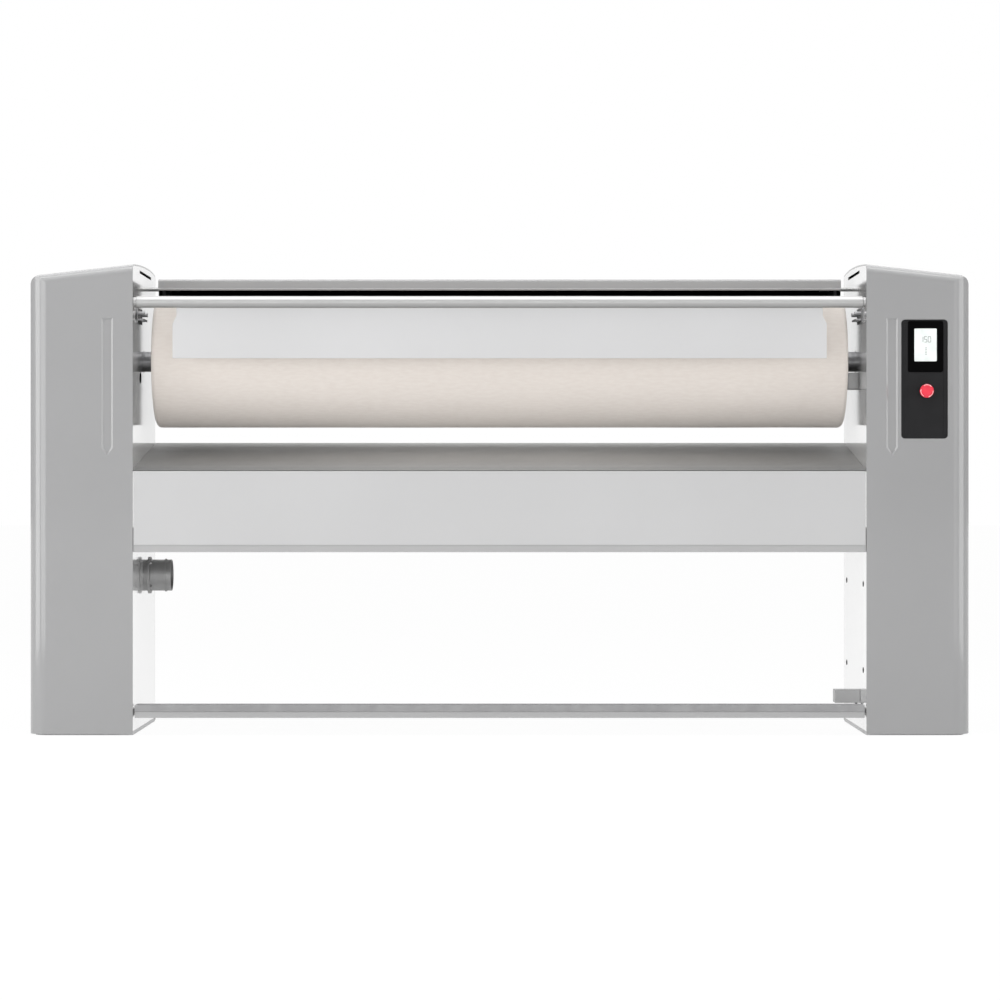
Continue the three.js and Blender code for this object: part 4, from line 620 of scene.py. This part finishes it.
cloth = bmesh.new()
right_end = cloth_profile()
left_end = [(-x, r) for x, r in reversed(right_end)]
span = 2 * (ROLL_HALF - END_ROUND)
middle = [(ROLL_HALF - END_ROUND - span * i / STATIONS, CLOTH_RADIUS) for i in range(1, STATIONS)]
ring = [
    cloth.verts.new((x, ROLL_AXIS.y, ROLL_AXIS.z + r)) for x, r in right_end + middle + left_end
]
edges = [cloth.edges.new(pair) for pair in zip(ring, ring[1:] + ring[:1])]
bmesh.ops.spin(
    cloth, geom=ring + edges, cent=ROLL_AXIS, axis=(1, 0, 0), angle=2 * math.pi,
    steps=AROUND, use_merge=True,
)
bmesh.ops.remove_doubles(cloth, verts=cloth.verts, dist=0.00001)
bmesh.ops.recalc_face_normals(cloth, faces=cloth.faces)
print("roll section:", len(ring), "points, radius", round(CLOTH_RADIUS, 4), "m")

# %% [markdown]
# Only the outer face and the round of the ends are soft. Everything there is drawn in a little
# first, so that no wave stands out past the solid.

# %% Soften the cloth
SLOW_WAVE, FINE_WAVE, DRAWN_IN = 0.0003, 0.00012, 0.0004
SOFT_DEPTH = 0.012
for vert in cloth.verts:
    out = Vector((0, vert.co.y - ROLL_AXIS.y, vert.co.z - ROLL_AXIS.z))
    if out.length < CLOTH_RADIUS - SOFT_DEPTH:
        continue
    slow = noise.noise(Vector((vert.co.x * 5, out.y * 9, out.z * 9)))
    fine = noise.noise(Vector((vert.co.x * 22, out.y * 30, out.z * 30)))
    vert.co += out.normalized() * (SLOW_WAVE * slow + FINE_WAVE * fine - DRAWN_IN)
print("waves up to", round(SLOW_WAVE + FINE_WAVE, 6), "m")

# %% [markdown]
# The weave needs a map in metres: along the roll in one direction, and round it in the other.
# A face that spans the seam has corners on both sides of half a turn, so their angles are
# brought to the side of the face's own centre.

# %% Map the weave and link the cloth
weave_map = cloth.loops.layers.uv.new("weave")
for face in cloth.faces:
    centre = math.atan2(
        face.calc_center_median().y - ROLL_AXIS.y, face.calc_center_median().z - ROLL_AXIS.z
    )
    for loop in face.loops:
        y, z = loop.vert.co.y - ROLL_AXIS.y, loop.vert.co.z - ROLL_AXIS.z
        angle = math.atan2(y, z)
        if angle - centre > math.pi:
            angle -= 2 * math.pi
        if centre - angle > math.pi:
            angle += 2 * math.pi
        loop[weave_map].uv = (loop.vert.co.x, angle * CLOTH_RADIUS + math.hypot(y, z))
    face.smooth = True
cloth_data = mesh_of(cloth, "ironing_cloth")
ironing_cloth = link_piece("ironing_cloth", cloth_data, roll_cloth, "roll")
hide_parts("roll_padding")
print("roll cloth:", len(cloth_data.polygons), "faces")

# %% [markdown]
# ## Lining of the hood
# Heat stays in the hood because a fibre board lines it. The board is near-black as painted shade:
# from the front it shows as the dark band under the lip, the shade deep inside the hood. It is
# one folded sheet with a cheek at each end, so a sheet is laid out in the plane of its section
# and Solidify gives it the thickness of the board.

# %% Line the hood
HOOD_LOW, HOOD_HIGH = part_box("chest_hood")
BOARD = 0.0015
LINING_HALF = HOOD_HIGH.x - 0.0015
LINING_FRONT = HOOD_LOW.y + 0.0045
LINING_REAR = HOOD_HIGH.y - 0.0028
LINING_TOP = HOOD_HIGH.z - 0.0026
LINING_LIP = ROLL_HIGH.z + 0.017
LINING_LOW = HOOD_LOW.z + 0.06
FOLD = 0.016
FOLD_STEPS = 6
CHEEK_LOW = ROLL_HIGH.z + 0.0018
CHEEK_REAR = LINING_REAR - FOLD - 0.004

lining = bmesh.new()
rear_fold = [
    (LINING_REAR - FOLD + FOLD * math.sin(t), LINING_TOP - FOLD + FOLD * math.cos(t))
    for t in (math.radians(90 * i / FOLD_STEPS) for i in range(FOLD_STEPS + 1))
]
section = [
    (LINING_FRONT, LINING_LIP), (LINING_FRONT, LINING_TOP), (CHEEK_REAR, LINING_TOP),
    *rear_fold, (LINING_REAR, LINING_LOW),
]
rows = [[lining.verts.new((x, y, z)) for y, z in section] for x in (-LINING_HALF, LINING_HALF)]
for i in range(len(section) - 1):
    lining.faces.new((rows[0][i], rows[0][i + 1], rows[1][i + 1], rows[1][i]))
for row in rows:
    x = row[0].co.x
    corner = lining.verts.new((x, CHEEK_REAR, CHEEK_LOW))
    toe = lining.verts.new((x, LINING_FRONT, CHEEK_LOW))
    lining.faces.new((row[1], row[2], corner, toe, row[0]))
lining_data = mesh_of(lining, "hood_lining")
hood_lining = link_piece("hood_lining", lining_data, shade_black, "chest")
board_thickness = hood_lining.modifiers.new("board", "SOLIDIFY")
board_thickness.thickness = BOARD
board_thickness.offset = 0
print("hood lining:", len(lining_data.polygons), "faces")

# %% [markdown]
# ## Hem of the hood
# The lip of the hood has a rolled hem, which keeps the sheet stiff and takes its sharp edge
# away. It is a half-round bead along the whole lip, and it catches a thin line of light. The
# foot bar's ribs have the same form, so one helper makes a closed bar from any half round.

# %% Roll the hem
ROUND_CORNER = 40


def half_round(steps):
    """Angles from 0 to half a turn."""
    return [math.pi * i / steps for i in range(steps + 1)]


def prism_along_x(work, outline, x0, x1):
    """A closed bar with the outline given as (y, z) points, from x0 to x1."""
    ends = [[work.verts.new((x, y, z)) for y, z in outline] for x in (x0, x1)]
    for i in range(-1, len(outline) - 1):
        work.faces.new((ends[0][i], ends[0][i + 1], ends[1][i + 1], ends[1][i]))
    for end in ends:
        work.faces.new(end)


hood_points = [v.co for v in frame["nodes"]["chest_hood"].data.vertices]
LIP = min(co.z for co in hood_points if co.y < HOOD_LOW.y + 0.002)
HEM_HALF = HOOD_HIGH.x - 0.0004
HEM_REAR = HOOD_LOW.y + 0.0002
HEM_HIGH = 0.0028
HEM_PROUD = 0.0014
HEM_STEPS = 8

hem = bmesh.new()
bead = [
    (HEM_REAR - HEM_PROUD * math.sin(t), LIP + HEM_HIGH - HEM_HIGH * math.cos(t))
    for t in half_round(HEM_STEPS)
]
prism_along_x(hem, bead, -HEM_HALF, HEM_HALF)
hem_data = mesh_of(hem, "hood_hem", ROUND_CORNER)
link_piece("hood_hem", hem_data, lightened_hood_paint, "chest")
print("hood hem:", len(hem_data.polygons), "faces, lip at", round(LIP, 4), "m")

# %% [markdown]
# ## Ribs of the foot bar
# The rubber on the foot bar has low ribs along its top, so that a shoe does not slip on it.
# They ride on the foot bar and tilt with it.

# %% Raise the ribs
TREAD_LOW, TREAD_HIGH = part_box("pedal_tread")
RIB_PITCH = 0.005
RIB_HALF = 0.0012
RIB_HIGH = 0.0009
RIB_STEPS = 5
RIB_END = 0.003
FIRST_RIB = TREAD_LOW.y + 0.006
LAST_RIB = TREAD_HIGH.y - 0.004
RIB_FOOT = TREAD_HIGH.z - 0.0001

ribs = bmesh.new()
rib_count = int((LAST_RIB - FIRST_RIB) / RIB_PITCH) + 1
for row in range(rib_count):
    middle_y = FIRST_RIB + RIB_PITCH * row
    rib = [
        (middle_y + RIB_HALF * math.cos(t), RIB_FOOT + RIB_HIGH * math.sin(t))
        for t in half_round(RIB_STEPS)
    ]
    prism_along_x(ribs, rib, TREAD_LOW.x + RIB_END, TREAD_HIGH.x - RIB_END)
ribs_data = mesh_of(ribs, "tread_ribs", ROUND_CORNER)
link_piece("tread_ribs", ribs_data, foot_rubber, "pedal")
print("tread ribs:", rib_count, "ribs,", len(ribs_data.polygons), "faces")

# %% [markdown]
# ## Marks on the screen and the button
# The screen shows a set temperature and a small bar for the heat of the chest. Printed marks
# could be a texture, but thin plates stay sharp at any distance and need no image. Each mark
# is an outline that is raised by a fraction of a millimetre.

# %% Helpers for marks
MARK_THICK = 0.00015


def mark(work, outline, front):
    """A thin plate that stands out to the front from the plane y = front + MARK_THICK."""
    plate = work.faces.new([work.verts.new((x, front + MARK_THICK, z)) for x, z in outline])
    raised = bmesh.ops.extrude_face_region(work, geom=[plate], use_keep_orig=True)
    for item in raised["geom"]:
        if isinstance(item, bmesh.types.BMVert):
            item.co.y -= MARK_THICK


def bar(x0, z0, x1, z1, width):
    """The outline of a stroke with pointed ends."""
    start, end = Vector((x0, z0)), Vector((x1, z1))
    run = (end - start).normalized() * width / 2
    side = Vector((-run.y, run.x))
    return [
        tuple(start), tuple(start + run - side), tuple(end - run - side),
        tuple(end), tuple(end - run + side), tuple(start + run + side),
    ]


# %% [markdown]
# The digits are made of seven strokes each, as on any such display. Each figure is a list of
# the strokes that are lit, named a to g in the usual order.

# %% Write on the screen
SCREEN_LOW, SCREEN_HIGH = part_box("display_screen")
DIGIT_HIGH = 0.0125
DIGIT_WIDE = 0.0058
DIGIT_STEP = 0.0088
DIGIT_DROP = 0.031
STROKE = 0.0011
STROKES = {"0": "abcdef", "1": "bc", "5": "acdfg"}
HEAT_BARS = 5
BAR_HALF, BAR_WIDTH, BAR_STEP = 0.0018, 0.0016, 0.0036
BAR_RISE, BAR_SHIFT = 0.016, 0.001


def digit_strokes(figure, x, z):
    right, middle, top = x + DIGIT_WIDE, z + DIGIT_HIGH / 2, z + DIGIT_HIGH
    places = {
        "a": (x, top, right, top), "b": (right, middle, right, top), "c": (right, z, right, middle),
        "d": (x, z, right, z), "e": (x, z, x, middle), "f": (x, middle, x, top),
        "g": (x, middle, right, middle),
    }
    return [bar(*places[name], STROKE) for name in STROKES[figure]]


marks = bmesh.new()
screen_front = SCREEN_LOW.y - MARK_THICK
screen_middle = (SCREEN_LOW.x + SCREEN_HIGH.x) / 2
digits_left = screen_middle - DIGIT_STEP - DIGIT_WIDE / 2
for place, figure in enumerate("150"):
    digit_x = digits_left + DIGIT_STEP * place
    for outline in digit_strokes(figure, digit_x, SCREEN_HIGH.z - DIGIT_DROP):
        mark(marks, outline, screen_front)
bar_x = screen_middle + BAR_SHIFT
for step in range(HEAT_BARS):
    z = SCREEN_LOW.z + BAR_RISE + BAR_STEP * step
    mark(marks, bar(bar_x - BAR_HALF, z, bar_x + BAR_HALF, z, BAR_WIDTH), screen_front)
marks_data = mesh_of(marks, "screen_marks")
link_piece("screen_marks", marks_data, screen_ink, "root")
print("screen marks:", len(marks_data.polygons), "faces")

# %% [markdown]
# The stop button has three arrows round its rim that say which way it is turned to release it.
# Each one is an arc with a wider head, and it rides on the button's body, so that it goes in
# and turns with it.

# %% Draw the arrows
BUTTON_LOW, BUTTON_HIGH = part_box("stop_button")
BUTTON_CENTRE = (BUTTON_LOW + BUTTON_HIGH) / 2
ARROWS = 3
ARROW_STEPS = 8
ARROW_SWEEP = math.radians(62)
ARROW_HEAD = math.radians(16)
RIM_MIDDLE = (BUTTON_HIGH.x - BUTTON_LOW.x) / 2 - 0.0015
RIM_BEHIND_FRONT = 0.002
ARC_HALF, HEAD_HALF = 0.00045, 0.0011

arrows = bmesh.new()
for turn in range(ARROWS):
    start = 2 * math.pi * turn / ARROWS
    sweep = [start + ARROW_SWEEP * i / ARROW_STEPS for i in range(ARROW_STEPS + 1)]
    outer = [(RIM_MIDDLE + ARC_HALF, t) for t in sweep]
    head = [
        (RIM_MIDDLE + HEAD_HALF, sweep[-1]),
        (RIM_MIDDLE, start + ARROW_SWEEP + ARROW_HEAD),
        (RIM_MIDDLE - HEAD_HALF, sweep[-1]),
    ]
    inner = [(RIM_MIDDLE - ARC_HALF, t) for t in reversed(sweep)]
    outline = [
        (BUTTON_CENTRE.x + r * math.cos(-t), BUTTON_CENTRE.z + r * math.sin(-t))
        for r, t in outer + head + inner
    ]
    mark(arrows, outline, BUTTON_LOW.y + RIM_BEHIND_FRONT - MARK_THICK)
arrows_data = mesh_of(arrows, "button_arrows")
link_piece("button_arrows", arrows_data, arrow_ink, "button")
print("arrows:", len(arrows_data.polygons), "faces")

# %% [markdown]
# ## Screws of the rear covers
# Each rear cover is held by pan-head screws with a round socket, so that the drive and the fan
# can be reached. A head is a profile spun round its axis, as on a lathe, and its open back is
# closed afterwards.

# %% Helpers for turned heads
def turned(work, profile, centre, out, radius, sides):
    """A head on a flat face: a profile of (share of the radius, height) spun round its axis."""
    across = out.orthogonal().normalized() * radius
    ring = [work.verts.new(centre + across * r + out * h) for r, h in profile]
    edges = [work.edges.new(pair) for pair in zip(ring, ring[1:])]
    bmesh.ops.spin(
        work, geom=ring + edges, cent=centre, axis=out, angle=2 * math.pi,
        steps=sides, use_merge=True,
    )


def closed_heads(work, name, sides):
    """Closes the backs of the turned heads and makes them one mesh."""
    bmesh.ops.remove_doubles(work, verts=work.verts, dist=0.000002)
    rims = [edge for edge in work.edges if edge.is_boundary]
    bmesh.ops.holes_fill(work, edges=rims, sides=sides)
    return mesh_of(work, name, ROUND_CORNER)


# %% [markdown]
# The heads stand in two columns on each cover, close to its upright edges, and a hair off the
# plate so that the two never share a surface.

# %% Set the screws
SCREW_RADIUS = 0.0042
SCREW_PROFILE = [
    (0, 0.0009), (0.4, 0.0009), (0.42, 0.0023), (0.62, 0.0025), (0.9, 0.0019), (1, 0.0009), (1, 0),
]
SCREW_SIDES = 14
SCREWS_DOWN = 4
SCREW_IN = 0.013
SCREW_END = 0.03
HEAD_GAP = 0.0001

screws = bmesh.new()
for node in ("left_rear_cover", "right_rear_cover"):
    low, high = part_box(node)
    for x in (low.x + SCREW_IN, high.x - SCREW_IN):
        for step in range(SCREWS_DOWN):
            z = low.z + SCREW_END + (high.z - low.z - 2 * SCREW_END) * step / (SCREWS_DOWN - 1)
            centre = Vector((x, high.y + HEAD_GAP, z))
            turned(screws, SCREW_PROFILE, centre, Vector((0, 1, 0)), SCREW_RADIUS, SCREW_SIDES)
screws_data = closed_heads(screws, "rear_cover_screws", SCREW_SIDES)
link_piece("rear_cover_screws", screws_data, plain_steel, "root")
print("rear cover screws:", 4 * SCREWS_DOWN, "heads,", len(screws_data.polygons), "faces")

# %% [markdown]
# ## Plugs of the inner walls
# The walls have round holes for fixings that this machine does not use. Black plastic plugs
# close them. Their near-black is painted shade, the shade of an open hole, so from the front
# each one shows as a short dark mark.

# %% Plug the spare holes
PLUG_PROFILE = [(0, 0.0011), (0.6, 0.001), (0.9, 0.0007), (1, 0.0003), (1, 0)]
PLUG_SIDES = 20
PLUG_RIM = 0.0006
LEFT_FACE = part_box("left_inner_wall")[1].x
RIGHT_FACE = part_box("right_inner_wall")[0].x
# Each spare hole is a wall's face, its depth and height on the wall, and its radius.
SPARE_HOLES = [(LEFT_FACE, -0.175, 0.954, 0.008), (LEFT_FACE, -0.083, 0.817, 0.0125)]
SPARE_HOLES += [(RIGHT_FACE, y, z, 0.006) for y in (-0.174, 0.174) for z in (0.145, 0.342)]

plugs = bmesh.new()
for x, y, z, radius in SPARE_HOLES:
    inward = -1 if x > 0 else 1
    centre = Vector((x + inward * HEAD_GAP, y, z))
    outward = Vector((inward, 0, 0))
    turned(plugs, PLUG_PROFILE, centre, outward, radius + PLUG_RIM, PLUG_SIDES)
plugs_data = closed_heads(plugs, "wall_plugs", PLUG_SIDES)
# The plugs' near-black paints the shade of open holes.
link_piece("wall_plugs", plugs_data, shade_black, "root")
print("wall plugs:", len(SPARE_HOLES), "plugs,", len(plugs_data.polygons), "faces")
